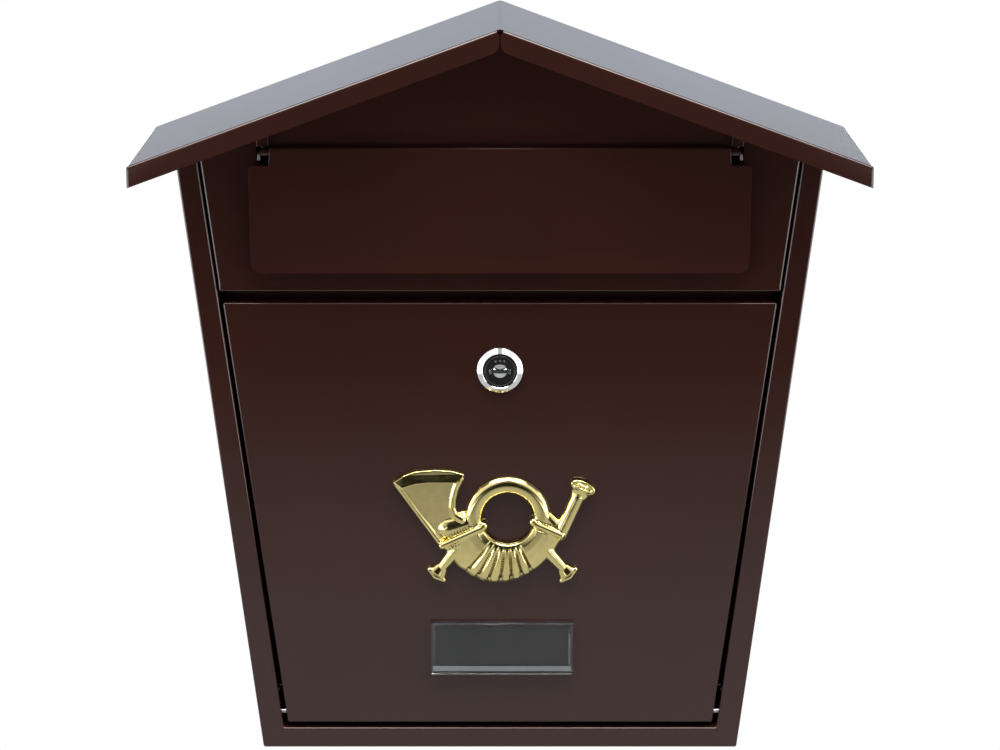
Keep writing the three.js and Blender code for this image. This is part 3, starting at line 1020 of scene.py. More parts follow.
    def roof(self) -> None:
        """Folds the gable roof with its turned-down front and side edges."""
        bm = bmesh.new()
        front, notch, relief = -self.roof_depth, self.roof_notch, self.roof_relief
        ridge = self._ridge()
        crown = ridge[-1][0]
        spots = [
            (crown, front + relief),
            (notch, front + relief),
            (notch, front),
            (self.roof_half, front),
            (self.roof_half, 0),
            (crown, 0),
        ]
        cover = polygon(bm, [(x, y, self.slope(x)) for x, y in spots])
        fold = [e for e in cover.edges if all(near(v.co.y, front) for v in e.verts)]
        eave = [e for e in cover.edges if all(near(v.co.x, self.roof_half) for v in e.verts)]
        skirt = folded(bm, fold + eave, (0, 0, -self.fascia))
        seam = edges_where(bm, lambda a, b: near(a.x, notch) and near(b.x, notch) and abs(a.z - b.z) > 1)
        # the two halves of the front edge part in a small rounded gap under the ridge
        split = bmesh.ops.subdivide_edges(bm, edges=seam, cuts=1)["geom_inner"]
        middle = next(v for v in split if isinstance(v, BMVert))
        middle.co = (0.2, front, self.slope(0.2) - 3.2)
        heel = next(v for e in skirt for v in e.verts if near(v.co.x, notch))
        heel.co = (0.6, front, self.slope(0.6) - self.fascia)
        rounded_corners(bm, [heel], 3.0)
        corner = edges_where(
            bm,
            lambda a, b: near(a.x, self.roof_half)
            and near(a.y, front)
            and near(b.y, front)
            and near(a.x, b.x),
        )
        bent(bm, fold + eave + corner, self.roof_bend)
        for (x0, z0), (x1, z1) in zip(ridge, ridge[1:]):
            polygon(bm, [(x0, front + relief, z0), (x1, front + relief, z1), (x1, 0, z1), (x0, 0, z0)])
        bmesh.ops.remove_doubles(bm, verts=bm.verts, dist=1e-3)
        everything = list(bm.verts) + list(bm.edges) + list(bm.faces)
        bmesh.ops.mirror(bm, geom=everything, axis="X", merge_dist=0.05)
        face_front(bm, front)
        roof = self.shop.object_of("roof_cover", bm)
        self.shop.thickened(roof)
        self.shop.finished(roof, Body.CASE, BROWN_COAT, Slot.BROWN, ["roof"])

    def flap_rod(self) -> None:
        """Bends the wire that the flap swings on, with its ends turned down."""
        standoff, axis_z = self.flap_pivot
        axis_y = self.front - standoff
        leg_x = self.tab[1] + SEAM + self.rod_radius
        elbow = self.rod_elbow
        bm = bmesh.new()
        turn = Matrix.Translation((0, axis_y, axis_z)) @ Matrix.Rotation(math.pi / 2, 4, "Y")
        made = bmesh.ops.create_circle(bm, radius=self.rod_radius, segments=16, matrix=turn)["verts"]
        ring = list({e for v in made for e in v.link_edges})
        far = folded(bm, ring, (leg_x - elbow, 0, 0))
        verts = list({v for e in far for v in e.verts})
        centre = (leg_x - elbow, axis_y, axis_z - elbow)
        spun = bmesh.ops.spin(
            bm, geom=verts + far, axis=(0, 1, 0), cent=centre, angle=math.pi / 2, steps=8
        )["geom_last"]
        last = [e for e in spun if isinstance(e, BMEdge)]
        foot = folded(bm, last, (0, 0, elbow - self.rod_leg))
        cap = bmesh.ops.contextual_create(bm, geom=foot)["faces"]
        bmesh.ops.remove_doubles(bm, verts=bm.verts, dist=1e-4)
        bent(bm, [e for f in cap for e in f.edges], 0.3, 2)
        everything = list(bm.verts) + list(bm.edges) + list(bm.faces)
        bmesh.ops.mirror(bm, geom=everything, axis="X", merge_dist=0.01)
        bmesh.ops.recalc_face_normals(bm, faces=bm.faces)
        wire = self.shop.object_of("flap_wire", bm)
        self.shop.finished(wire, Body.CASE, BROWN_COAT, Slot.BROWN, ["flap_rod"])

    def door_pin(self, side: int, door_edge: float) -> None:
        """Turns one headed pin that the door swings on.

        Args:
            side: -1 for the left one, 1 for the right one.
            door_edge: Half the door's width at the pin's height.
        """
        setback, height = self.door_pivot
        start = door_edge - SHEET - SEAM - 0.2
        end = self.window(height) + SHEET + SEAM + 0.2
        profile = [
            (0, start - 1.2), (2.0, start - 1.2), (2.4, start - 0.9), (2.4, start), (1.2, start),
            (1.2, end), (2.0, end), (2.0, end + 0.7), (1.6, end + 1), (0, end + 1),
        ]  # fmt: skip
        pin = swung(turned(profile, 32, 0.12), -90, "Z")
        if side < 0:
            swung(pin, 180, "Z")
        moved(pin, (0, self.front + setback, height))
        name = "left" if side < 0 else "right"
        piece = self.shop.object_of(f"hinge_pin_{name}", pin)
        self.shop.finished(piece, Body.CASE, ZINC, Slot.ZINC, [f"door_pin_{name}"])


# ---------------------------------------------------------------- flap and door


@dataclass
class MailFlap:
    """The folded flap that hangs over the mail slot."""

    case: Case
    half: float = 124.3
    neck_half: float = 114.2
    front: float = -2.6
    back: float = 2.4
    top: float = 2.5
    shoulder: float = -6.5
    bend: float = -52.0
    foot: float = -60.7
    kick: float = 12.0
    lean: float = 1.8
    corner: float = 5.5
    shoulder_corner: float = 1.2
    fold_radius: float = 0.9
    crease_radius: float = 0.8
    cut_edge: float = 0.34

    def build(self) -> None:
        """Folds the flap about its pivot, then hangs it in place."""
        shop = self.case.shop
        bm = bmesh.new()
        path = [
            (-self.neck_half, self.top),
            (-self.neck_half, self.shoulder),
            (-self.half, self.shoulder),
            (-self.half, self.bend),
        ]
        face = polygon(bm, [(x, self.front, z) for x, z in both_sides(path)])
        top = [e for e in face.edges if all(near(v.co.z, self.top) for v in e.verts)]
        at_necks = [e for e in face.edges if all(near(abs(v.co.x), self.neck_half) for v in e.verts)]
        necks = [e for e in at_necks if e not in top]
        bottom = [e for e in face.edges if all(near(v.co.z, self.bend) for v in e.verts)]
        folded(bm, top + necks, (0, self.back - self.front, 0))
        drop = self.foot - self.bend
        rim = folded(bm, bottom, (0, drop * math.tan(math.radians(self.kick)), drop))
        rounded_corners(bm, {v for e in rim for v in e.verts}, self.corner)
        shoulders = [v for v in face.verts if near(v.co.z, self.shoulder) and near(abs(v.co.x), self.half)]
        rounded_corners(bm, shoulders, self.shoulder_corner, 4)
        ahead = edges_where(bm, lambda a, b: near(a.y, self.front) and near(b.y, self.front))
        folds = [
            e
            for e in ahead
            if all(near(v.co.z, self.top) for v in e.verts)
            or all(near(abs(v.co.x), self.neck_half) for v in e.verts)
        ]
        bent(bm, folds, self.fold_radius)
        crease = edges_where(bm, lambda a, b: near(a.z, self.bend) and near(b.z, self.bend))
        bent(bm, crease, self.crease_radius, 2)
        face_front(bm, self.front)
        standoff, axis_z = self.case.flap_pivot
        sheet = shop.object_of("mail_flap", bm)
        shop.thickened(sheet)
        reach = self.neck_half + 2
        shop.eased(sheet, self.cut_edge)
        shop.pierced(sheet, [rod((-reach, 0, 0), (reach, 0, 0), self.case.rod_radius + SEAM)])
        turn = Matrix.Rotation(math.radians(self.lean), 4, "X")
        sheet.data.transform(Matrix.Translation((0, self.case.front - standoff, axis_z)) @ turn)
        shop.finished(sheet, Body.FLAP, BROWN_COAT, Slot.BROWN, ["flap"])


@dataclass
class Door:
    """The drop-down door: a folded tray, pierced for its lock, pegs and pins."""

    case: Case
    top: float = 240.0
    bottom: float = 14.0
    top_half: float = 139.5
    bottom_half: float = 111.2
    depth: float = 10.0
    lock_height: float = 205.1
    lock_hole: float = 9.5
    lock_flat: float = 8.3
    peg_hole: float = 1.5

    def half(self, z: float) -> float:
        """Returns half the door's width at a height."""
        share = (z - self.bottom) / (self.top - self.bottom)
        return self.bottom_half + (self.top_half - self.bottom_half) * share

    def build(self, pegs: Sequence[Point]) -> None:
        """Folds the tray and cuts its holes.

        Args:
            pegs: The x and z of the pegs' holes.
        """
        shop, front = self.case.shop, self.case.front
        bm = bmesh.new()
        path = both_sides([(-self.top_half, self.top), (-self.bottom_half, self.bottom)])
        face = polygon(bm, [(x, front, z) for x, z in path])
        folds = list(face.edges)
        folded(bm, folds, (0, self.depth, 0))
        corners = edges_where(bm, lambda a, b: abs(a.y - b.y) > 1)
        bent(bm, folds + corners, self.case.bend)
        face_front(bm, front)
        tray = shop.object_of("door_tray", bm)
        shop.thickened(tray)
        start, end = (0, front - 2, self.lock_height), (0, front + 4, self.lock_height)
        lock = rod(start, end, self.lock_hole, steps=64)
        for vert in lock.verts:
            vert.co.x = max(-self.lock_flat, min(self.lock_flat, vert.co.x))
        bmesh.ops.remove_doubles(lock, verts=lock.verts, dist=1e-3)
        setback, height = self.case.door_pivot
        reach = self.half(height) + 2
        left, right = (-reach, front + setback, height), (reach, front + setback, height)
        pins = rod(left, right, self.case.pin_hole)
        holes = [rod((x, front - 2, z), (x, front + 4, z), self.peg_hole) for x, z in pegs]
        shop.pierced(tray, [lock, pins, *holes])
        shop.finished(tray, Body.DOOR, BROWN_COAT, Slot.BROWN, ["door"])

    def clip(self, name: str, node: str, x: float, z: float) -> None:
        """Presses one push-on spring clip over a peg behind the door.

        Args:
            name: The clip's name.
            node: The CAD node that it stands for.
            x: The peg's x.
            z: The peg's height.
        """
        shop = self.case.shop
        lift = SHEET + SEAM
        dish = [(1.5, 0.9), (3.2, 0), (5, 0), (5, 0.4), (3.3, 0.4), (1.6, 1.3), (1.5, 0.9)]
        ring = turned([(r, lift + y) for r, y in dish], 36, 0.06)
        piece = shop.object_of(name, moved(ring, (x, self.case.front, z)))
        slits = []
        for i in range(3):
            cutter = swung(block((-0.25, 0, -2.6), (0.25, 3, 2.6)), 60 * i, "Y")
            slits.append(moved(cutter, (x, self.case.front, z)))
        shop.pierced(piece, slits)
        shop.finished(piece, Body.DOOR, ZINC, Slot.ZINC, [node])


# ---------------------------------------------------------------- cam lock


@dataclass
class CamLock:
    """The cam lock, built about its own axis with y from the door's front face."""

    door: Door
    barrel_end: float = 12.4
    shank: float = 9.1
    flat: float = 8.0
    plug: float = 6.6
    cam_reach: float = 32.0
    cam_screw_hole: float = 2.5
    groove_floor: float = -2.3
    key_half: float = 5.2
    key_low: float = -1.1
    key_high: float = 0.8

    def _place(self, name: str, bm: BMesh) -> bpy.types.Object:
        """Makes a piece from a mesh about the lock's axis."""
        case = self.door.case
        return case.shop.object_of(name, moved(bm, (0, case.front, self.door.lock_height)))

    def _cutter(self, bm: BMesh) -> BMesh:
        """Moves a cutter from the lock's axis into place."""
        return moved(bm, (0, self.door.case.front, self.door.lock_height))

    def barrel(self) -> None:
        """Turns the barrel with its bevelled bezel, thread and flats."""
        pitch, root = 1.0, 0.45
        thread = []
        y = self.barrel_end - 0.4
        while y - pitch > 0.2:
            thread += [(self.shank, y), (self.shank - root, y - pitch / 2)]
            y -= pitch
        profile = [
            (7, self.barrel_end), (self.shank - 0.4, self.barrel_end), *thread, (self.shank, y),
            (self.shank, -0.3), (11.5, -0.3), (11.6, -0.45), (11.55, -0.75), (9.15, -2.55), (8.95, -2.62),
            (8.75, -2.4), (8.7, -0.4), (7, -0.4), (7, self.barrel_end),
        ]  # fmt: skip
        bm = turned(profile, 96)
        for vert in bm.verts:
            if vert.co.y > -0.29:
                vert.co.x = max(-self.flat, min(self.flat, vert.co.x))
        bmesh.ops.remove_doubles(bm, verts=bm.verts, dist=1e-4)
        shop = self.door.case.shop
        piece = self._place("cam_lock_barrel", bm)
        piece = shop.finished(piece, Body.DOOR, CHROME, Slot.CHROME, ["lock_barrel"])
        # the barrel's ring groove faces get painted shade
        self._paint_groove_shade(piece, 0.0, 8.72)

    def _paint_groove_shade(self, piece: bpy.types.Object, low: float, high: float) -> None:
        """Paints the faces in the narrow ring groove black, as painted shade for its depth.

        Args:
            piece: The finished piece.
            low: The smallest radius of the groove's faces.
            high: Their largest radius.
        """
        case = self.door.case
        piece.data.materials.append(case.shop.paints.of(BLACK_FACE_AND_GROOVE_SHADE))
        centre = Vector((0, 0, self.door.lock_height + case.shop.place.ground)) * MM
        for face in piece.data.polygons:
            arm = face.center - centre
            depth = arm.y / MM - case.front
            if self.groove_floor < depth < 0 and low < math.hypot(arm.x, arm.z) / MM < high:
                face.material_index = 1

    def nut(self) -> None:
        """Cuts the washer and the chamfered hexagon nut behind the door."""
        shop = self.door.case.shop
        washer = turned([(9.5, 1.1), (12, 1.1), (12, 1.6), (9.5, 1.6), (9.5, 1.1)], 64, 0.1)
        shop.finished(self._place("cam_lock_washer", washer), Body.DOOR, ZINC, Slot.ZINC, ["lock_washer"])
        hexagon = rod((0, 1.9, 0), (0, 5.4, 0), 12.7, steps=6)
        piece = self._place("cam_lock_nut", softened(hexagon, 0.35))
        shop.pierced(piece, [self._cutter(rod((0, 0, 0), (0, 8, 0), self.door.lock_hole, steps=64))])
        shop.finished(piece, Body.DOOR, ZINC, Slot.ZINC, ["lock_nut"])

    def cylinder(self) -> None:
        """Turns the plug, its black face ring and its boss, and cuts the keyway."""
        shop = self.door.case.shop
        profile = [
            (0, 12.6), (self.plug, 12.6), (self.plug, -0.7), (7.9, -0.7), (7.95, -2.2), (7.85, -2.3),
            (7.4, -2.3), (7.3, -1.3), (3.7, -1.3), (3.65, -2.1), (3.5, -2.3), (0, -3.1),
        ]  # fmt: skip
        plug = self._place("cam_lock_plug", turned(profile, 72))
        tenon = block((-3, 12, -3), (3, 14.6, 3), 0.2, 2)
        keyway = self._cutter(block((-5, -4, self.key_low), (5, 3.5, self.key_high)))
        bore = self._cutter(rod((0, 5.5, 0), (0, 13, 0), self.cam_screw_hole))
        ramp = swung(block((-4, -4, -6), (4, 0, 2.6)), -33, "X")
        # a sloped notch above the keyway leads the key in
        notch = self._cutter(moved(ramp, (0, -2.4, 1.92)))
        shop.pierced(plug, [keyway, bore, notch])
        piece = shop.finished(plug, Body.LOCK, CHROME, Slot.CHROME, ["lock_plug"])
        # the plug's ring groove faces get painted shade
        self._paint_groove_shade(piece, 7.88, 9)
        square = self._place("cam_lock_tenon", tenon)
        shop.pierced(square, [self._cutter(rod((0, 10, 0), (0, 16, 0), self.cam_screw_hole))])
        shop.finished(square, Body.LOCK, CHROME, Slot.CHROME)
        disc = [(3.8, -1.6), (3.8, -2.0), (3.9, -2.1), (7.1, -2.1), (7.2, -2.0), (7.2, -1.6), (3.8, -1.6)]
        face = self._place("cam_lock_face", turned(disc, 72))
        half = self.key_half
        shop.pierced(face, [self._cutter(block((-half, -4, self.key_low), (half, 0, self.key_high)))])
        shop.finished(face, Body.LOCK, BLACK_FACE_AND_GROOVE_SHADE, Slot.BLACK, ["lock_face"])
        for side in (-1, 1):
            x0, x1 = sorted((side * 4.3, side * 5.3))
            jaw = block((x0, -2.25, -1.5), (x1, -1.4, 1.1), 0.15, 2)
            name = "left" if side < 0 else "right"
            piece = self._place(f"keyway_jaw_{name}", jaw)
            shop.pierced(piece, [self._cutter(block((-4.8, -4, -0.9), (4.8, 1, 0.55)))])
            shop.finished(piece, Body.LOCK, CHROME, Slot.CHROME)
        for i, x in enumerate((-2.2, 0, 2.2)):
            dot = turned([(0, -2.16), (0.42, -2.16), (0.45, -2.12), (0.45, -2.05), (0, -2.05)], 24)
            piece = self._place(f"face_dot_{i + 1}", moved(dot, (x, 0, 5.3 - 0.12 * abs(x))))
            shop.finished(piece, Body.LOCK, WHITE_INK, Slot.BLACK)

    def cam(self) -> None:
        """Cuts the locking cam, its washer and its screw."""
        shop = self.door.case.shop
        front, back = 12.9, 14.4
        reach = self.cam_reach
        outline = [
            *arc(0, 0, 8, -90, 90),
            *arc(5 - reach, 0.5, 5, 90, 180, 8),
            *arc(3.5 - reach, -2, 3.5, 180, 270, 8),
        ]
        arm = self._place("locking_cam", softened(plate(outline, front, back), 0.2, 2, 40))
        shop.pierced(arm, [self._cutter(block((-3.3, 10, -3.3), (3.3, 16, 3.3)))])
        shop.finished(arm, Body.LOCK, ZINC, Slot.ZINC, ["lock_cam"])
        washer = turned([(2.6, 14.8), (5.2, 14.8), (5.2, 15.4), (2.6, 15.4), (2.6, 14.8)], 48, 0.1)
        shop.finished(self._place("locking_cam_washer", washer), Body.LOCK, ZINC, Slot.ZINC, ["cam_washer"])
        profile = [
            (0, 6.5), (1.8, 6.5), (2.2, 6.9), (2.2, 15.7), (4.4, 15.7), (4.6, 15.9), (4.55, 17.0),
            (4.1, 17.8), (3.0, 18.3), (0, 18.5),
        ]  # fmt: skip
        screw = self._place("locking_cam_screw", turned(profile, 48))
        cross = [block((-2.6, 17, -0.5), (2.6, 19, 0.5)), block((-0.5, 17, -2.6), (0.5, 19, 2.6))]
        shop.pierced(screw, [self._cutter(cut) for cut in cross])
        shop.finished(screw, Body.LOCK, ZINC, Slot.ZINC, ["cam_screw"])

    def build(self) -> None:
        """Builds the whole lock."""
        self.barrel()
        self.nut()
        self.cylinder()
        self.cam()


# ---------------------------------------------------------------- emblem and name plate


@dataclass
class PostHorn:
    """The moulded post horn: a coiled horn with a pleated cord wrap and two tassels.

    Its depths are y from the door's front face, and it rises from a flat back.
    """

    door: Door
    centre: Point = (4.0, 127.0)
    ring_radius: float = 17.6
    tube: float = 4.5
    back: float = -0.3
    pegs: tuple[Point, ...] = ((-32.0, 134.0), (27.0, 108.0))
    voxel: float = 0.32
    hem: float = 13.4
    wrap_span: tuple[float, float] = (202.0, 340.0)
    first_groove: float = 234.0
    groove_step: float = 9.9
    grooves: int = 7
    pleat_depth: float = 1.3
    pleat_half: float = 0.3
    wrap_steps: int = 276
    stitch: float = 0.4
    stitches_a_row: int = 12
    section: tuple[Point, ...] = (
        (13.2, -2.9), (14.2, -4.4), (17.0, -5.4), (21.0, -5.5), (26.0, -5.0), (30.0, -4.0), (33.0, -2.6),
        (34.5, -1.2),
    )  # fmt: skip

    def piping(
        self, path: Sequence[Point], radii: Sequence[float], sink: float = 0, rise: float = 1
    ) -> BMesh:
        """Makes a smooth cord along a path.

        Args:
            path: Points of x and z.
            radii: The radius at each point.
            sink: How far its middle lies in front of the flat back.
            rise: Its height from the back as a share of its radius.

        Returns:
            The overlapping balls and rods that make the cord.
        """
        spots = [(x, 0.0, z) for x, z in path]
        parts = [ball(spot, r) for spot, r in zip(spots, radii)]
        parts += [rod(a, b, r0, r1) for a, b, r0, r1 in zip(spots, spots[1:], radii, radii[1:])]
        cord = joined(*parts)
        bmesh.ops.scale(cord, verts=cord.verts, vec=(1, rise, 1))
        return moved(cord, (0, self.back - sink, 0))

    def hoop(self, x: float, z: float, radius: float, tube: float, tilt: float, front: float) -> BMesh:
        """Makes a rolled rim, seen half from its side.

        Args:
            x: The middle's x.
            z: The middle's height.
            radius: The rim's radius to the middle of its roll.
            tube: The roll's radius.
            tilt: The turn of its long side from level, in degrees.
            front: The middle's y.

        Returns:
            The rim.
        """
        profile = [
            (radius + tube * math.cos(t), -tube * math.sin(t)) for t in (math.tau * i / 16 for i in range(16))
        ]
        floor = rod((0, -0.2 * tube, 0), (0, 1.2, 0), radius, radius + 0.4)
        rim = joined(turned([*profile, profile[0]], 40), floor)
        bmesh.ops.scale(rim, verts=rim.verts, vec=(1, 1, 0.5))
        return moved(swung(rim, tilt, "Y"), (x, front, z))

    def coil(self) -> BMesh:
        """Turns the coiled tube."""
        profile = [
            (self.ring_radius + self.tube * math.cos(t), self.back - 0.9 * self.tube * math.sin(t))
            for t in (math.tau * i / 28 for i in range(28))
        ]
        return moved(turned([*profile, profile[0]], 80), (self.centre[0], 0, self.centre[1]))

    def fan_front(self, z: float) -> float:
        """Returns the y of the bell's flat face at a height."""
        return -1.9 - 0.03 * (z - 114)

    def bell(self) -> list[BMesh]:
        """Builds the flared bell: a sloping plate between rolled edges."""
        top = [
            (-51.9, 144.7), (-47.0, 147.6), (-40.5, 149.6), (-33.5, 150.2), (-26.5, 149.4), (-20.6, 148.3),
        ]  # fmt: skip
        right = [
            (-20.4, 148.6), (-22.6, 143.5), (-24.0, 138.0), (-24.4, 132.5), (-23.0, 128.6), (-19.6, 126.4),
        ]  # fmt: skip
        outline = [*top, *right[1:], (-9.5, 123.6), (-30.5, 113.6)]
        fan = plate(outline, -3.0, self.back)
        for vert in fan.verts:
            if vert.co.y < self.back - 1:
                vert.co.y = self.fan_front(vert.co.z)
        rolls = [
            self.brim(),
            self.piping(right, [2.2, 1.9, 1.8, 1.8, 2.0, 2.4], 1.6),
            self.piping([(-53.2, 146.0), (-42.0, 129.6), (-30.8, 113.9)], [1.7, 1.4, 1.6], 1.3),
            self.piping([(-26.0, 121.0), (-16.5, 124.0)], [8.2, 7.6], -3.7, 0.95),
        ]
        return [fan, *rolls]

    def brim(self) -> BMesh:
        """Builds the broad flat roll along the bell's mouth, which leans back towards its top."""
        upper = [
            (-54.6, 146.4), (-49.5, 150.0), (-43.5, 152.2), (-32.7, 153.2), (-24.1, 152.5), (-18.2, 150.7),
        ]  # fmt: skip
        lower = [
            (-20.6, 147.2), (-23.4, 146.6), (-29.1, 146.8), (-36.3, 146.8), (-43.5, 145.9), (-50.6, 143.6),
        ]  # fmt: skip
        band = plate([*upper, *lower], -3.0, self.back)
        crest = {point: -3.5 for point in upper} | {point: -4.9 for point in lower}
        for vert in band.verts:
            if vert.co.y < self.back - 1:
                spot = min(crest, key=lambda p: math.hypot(p[0] - vert.co.x, p[1] - vert.co.z))
                vert.co.y = crest[spot]
        return band

    def reach(self, degrees: float) -> float:
        """Returns the wrap's outer radius at an angle, which eases from its left part to its right."""
        share = min(max((degrees - 240) / 85, 0), 1)
        return 36.6 - 6.8 * share * share * (3 - 2 * share)

    def wrap_front(self, radius: float, degrees: float) -> float:
        """Finds the wrap's face.

        Args:
            radius: The radius about the coil's centre.
            degrees: The angle about it.

        Returns:
            The y of the face there.
        """
        outer = self.section[-1][0]
        r = self.hem + (radius - self.hem) * (outer - self.hem) / (self.reach(degrees) - self.hem)
        for (r0, y0), (r1, y1) in zip(self.section, self.section[1:]):
            if r <= r1:
                return y0 + (y1 - y0) * max(0.0, r - r0) / (r1 - r0)
        return self.section[-1][1]

    def pleat(self, degrees: float) -> float:
        """Finds how deep the nearest groove between two pleats is.

        Args:
            degrees: The angle about the coil's centre.

        Returns:
            The depth there, 0 between the grooves.
        """
        place = (degrees - self.first_groove) / self.groove_step
        if not -0.5 < place < self.grooves - 0.5:
            return 0.0
        away = abs(place - round(place))
        return self.pleat_depth * max(0.0, 1 - away / self.pleat_half)

    def spot(self, radius: float, degrees: float) -> Point:
        """Returns the x and z at a radius and an angle about the coil's centre."""
        turn = math.radians(degrees)
        return self.centre[0] + radius * math.cos(turn), self.centre[1] + radius * math.sin(turn)

    def wrap(self) -> BMesh:
        """Builds the cord wrap round the lower half of the coil, with its pleats."""
        start, end = self.wrap_span
        outer = self.section[-1][0] + 0.1
        bm = bmesh.new()
        face = polygon(bm, [(r, y, 0) for r, y in ((self.hem, self.back), *self.section, (outer, self.back))])
        first = Matrix.Rotation(-math.radians(start), 3, "Y")
        bmesh.ops.rotate(bm, verts=bm.verts, cent=(0, 0, 0), matrix=first)
        sweep = -math.radians(end - start)
        bmesh.ops.spin(
            bm, geom=[face], axis=(0, 1, 0), cent=(0, 0, 0), angle=sweep, steps=self.wrap_steps
        )
        bmesh.ops.remove_doubles(bm, verts=bm.verts, dist=1e-4)
        for vert in bm.verts:
            radius = math.hypot(vert.co.x, vert.co.z)
            angle = math.degrees(math.atan2(vert.co.z, vert.co.x)) % 360
            stretch = (self.reach(angle) - self.hem) / (outer - self.hem)
            scale = (self.hem + (radius - self.hem) * stretch) / radius
            vert.co.x *= scale
            vert.co.z *= scale
            if vert.co.y < self.back - 0.5:
                vert.co.y += self.pleat(angle) * min(1.0, max(0.0, (radius - 15) / 4))
        bmesh.ops.recalc_face_normals(bm, faces=bm.faces)
        return moved(bm, (self.centre[0], 0, self.centre[1]))

    def stitches(self) -> BMesh:
        """Sets the rows of small stitches in the pleats' grooves and beside the collars."""
        last = self.stitches_a_row - 1
        beads = []
        for i in range(self.grooves):
            angle = self.first_groove + self.groove_step * i
            inner, outer = 17.8, self.reach(angle) - 3.2
            for k in range(self.stitches_a_row):
                radius = inner + (outer - inner) * k / last
                x, z = self.spot(radius, angle)
                beads.append(ball((x, self.wrap_front(radius, angle) + 0.8, z), self.stitch, 1))
        rows = (
            ((-28.9, 117.0), (-11.8, 124.6), 13, -4.6),
            ((-27.4, 110.6), (-15.0, 116.4), 9, -4.6),
            ((19.4, 126.6), (30.6, 121.4), 10, -4.4),
        )
        for (x0, z0), (x1, z1), count, y in rows:
            for k in range(count):
                share = k / (count - 1)
                beads.append(ball((x0 + (x1 - x0) * share, y, z0 + (z1 - z0) * share), self.stitch, 1))
        return joined(*beads)

    def trim(self) -> list[BMesh]:
        """Builds the collars, the mouthpiece and the two tassels."""
        parts = [
            self.piping([(-29.8, 112.9), (-9.4, 122.4)], [1.7, 1.7], 3.9),
            self.piping([(-8.4, 123.4)], [2.2], 3.2),
            self.piping([(18.4, 124.4), (31.4, 118.4)], [1.7, 1.7], 3.9),
            self.piping([(17.2, 125.4)], [2.3], 3.2),
            self.piping([(23.6, 128.4), (27.6, 123.6), (31.0, 118.0)], [3.0, 3.6, 4.0], 0, 0.95),
            self.piping([(31.0, 118.6), (39.8, 138.0)], [4.0, 3.6], 0.4, 1.05),
            self.piping([(-21.5, 111.0), (-29.6, 100.6)], [3.6, 2.6], 0.4, 1.0),
            self.piping([(23.6, 110.0), (32.2, 100.2)], [3.5, 2.6], 0.4, 1.0),
        ]
        flares = (
            ((39.4, 137.0), (42.2, 143.2), 3.6, 5.9),
            ((-29.4, 100.9), (-32.4, 96.8), 2.8, 5.0),
            ((32.0, 100.5), (35.0, 96.6), 2.8, 5.0),
        )
        for (x0, z0), (x1, z1), neck, mouth in flares:
            flare = rod((x0, 0, z0), (x1, 0, z1), neck, mouth)
            bmesh.ops.scale(flare, verts=flare.verts, vec=(1, 0.62, 1))
            parts.append(moved(flare, (0, self.back - 0.6, 0)))
        parts.append(self.hoop(42.4, 143.9, 5.6, 1.15, 24, -3.0))
        parts.append(self.piping([(-36.4, 99.3), (-33.4, 95.5), (-29.0, 93.5)], [1.1, 1.4, 1.1], 1.5))
        parts.append(self.piping([(38.9, 99.3), (36.0, 95.4), (31.7, 93.1)], [1.1, 1.4, 1.1], 1.5))
        parts += [ball((42.4 + 1.9 * k, -3.4, 144.6 - 0.85 * k), 1.0) for k in (-1, 0, 1)]
        return parts

    def build(self) -> None:
        """Moulds the parts into one skin with a flat back, and adds its stitches and its two pegs."""
        case = self.door.case
        shop = case.shop
        whole = joined(self.coil(), *self.bell(), self.wrap(), *self.trim())
        for vert in whole.verts:
            vert.co.y = min(vert.co.y, self.back)
        horn = shop.object_of("post_horn", moved(whole, (0, case.front, 0)))
        skin = horn.modifiers.new("skin", "REMESH")
        skin.mode = "VOXEL"
        skin.voxel_size = self.voxel
        soft = horn.modifiers.new("soft", "SMOOTH")
        soft.factor = 0.5
        soft.iterations = 3
        shop.applied(horn)
        piece = shop.finished(horn, Body.DOOR, GOLD_FILM, Slot.GOLD, ["emblem"], angle=60)
        self._etch_fan(piece)
        # the stitch beads are painted dark gold as shade, for dimples that mirror dark surroundings
        beads = shop.object_of("post_horn_stitches", moved(self.stitches(), (0, case.front, 0)))
        shop.finished(beads, Body.DOOR, GOLD_PAINTED_SHADE, Slot.GOLD)
        for i, (x, z) in enumerate(self.pegs):
            peg = softened(rod((x, case.front + self.back, z), (x, case.front + 4.5, z), 1.2), 0.2)
            shop.finished(shop.object_of(f"post_horn_peg_{i + 1}", peg), Body.DOOR, GOLD_FILM, Slot.GOLD)

    def _etch_fan(self, piece: bpy.types.Object) -> None:
        """Gives the bell's flat face its satin, etched finish.

        Args:
            piece: The finished horn.
        """
        place = self.door.case.shop.place
        right, low = -12, 112
        piece.data.materials.append(self.door.case.shop.paints.of(GOLD_SATIN))
        for face in piece.data.polygons:
            x = face.center.x / MM
            depth = face.center.y / MM - place.front
            z = face.center.z / MM - place.ground
            level = abs(depth - self.fan_front(z)) < 0.25 and face.normal.y < -0.97
            if x < right and z > low and level:
                face.material_index = 1


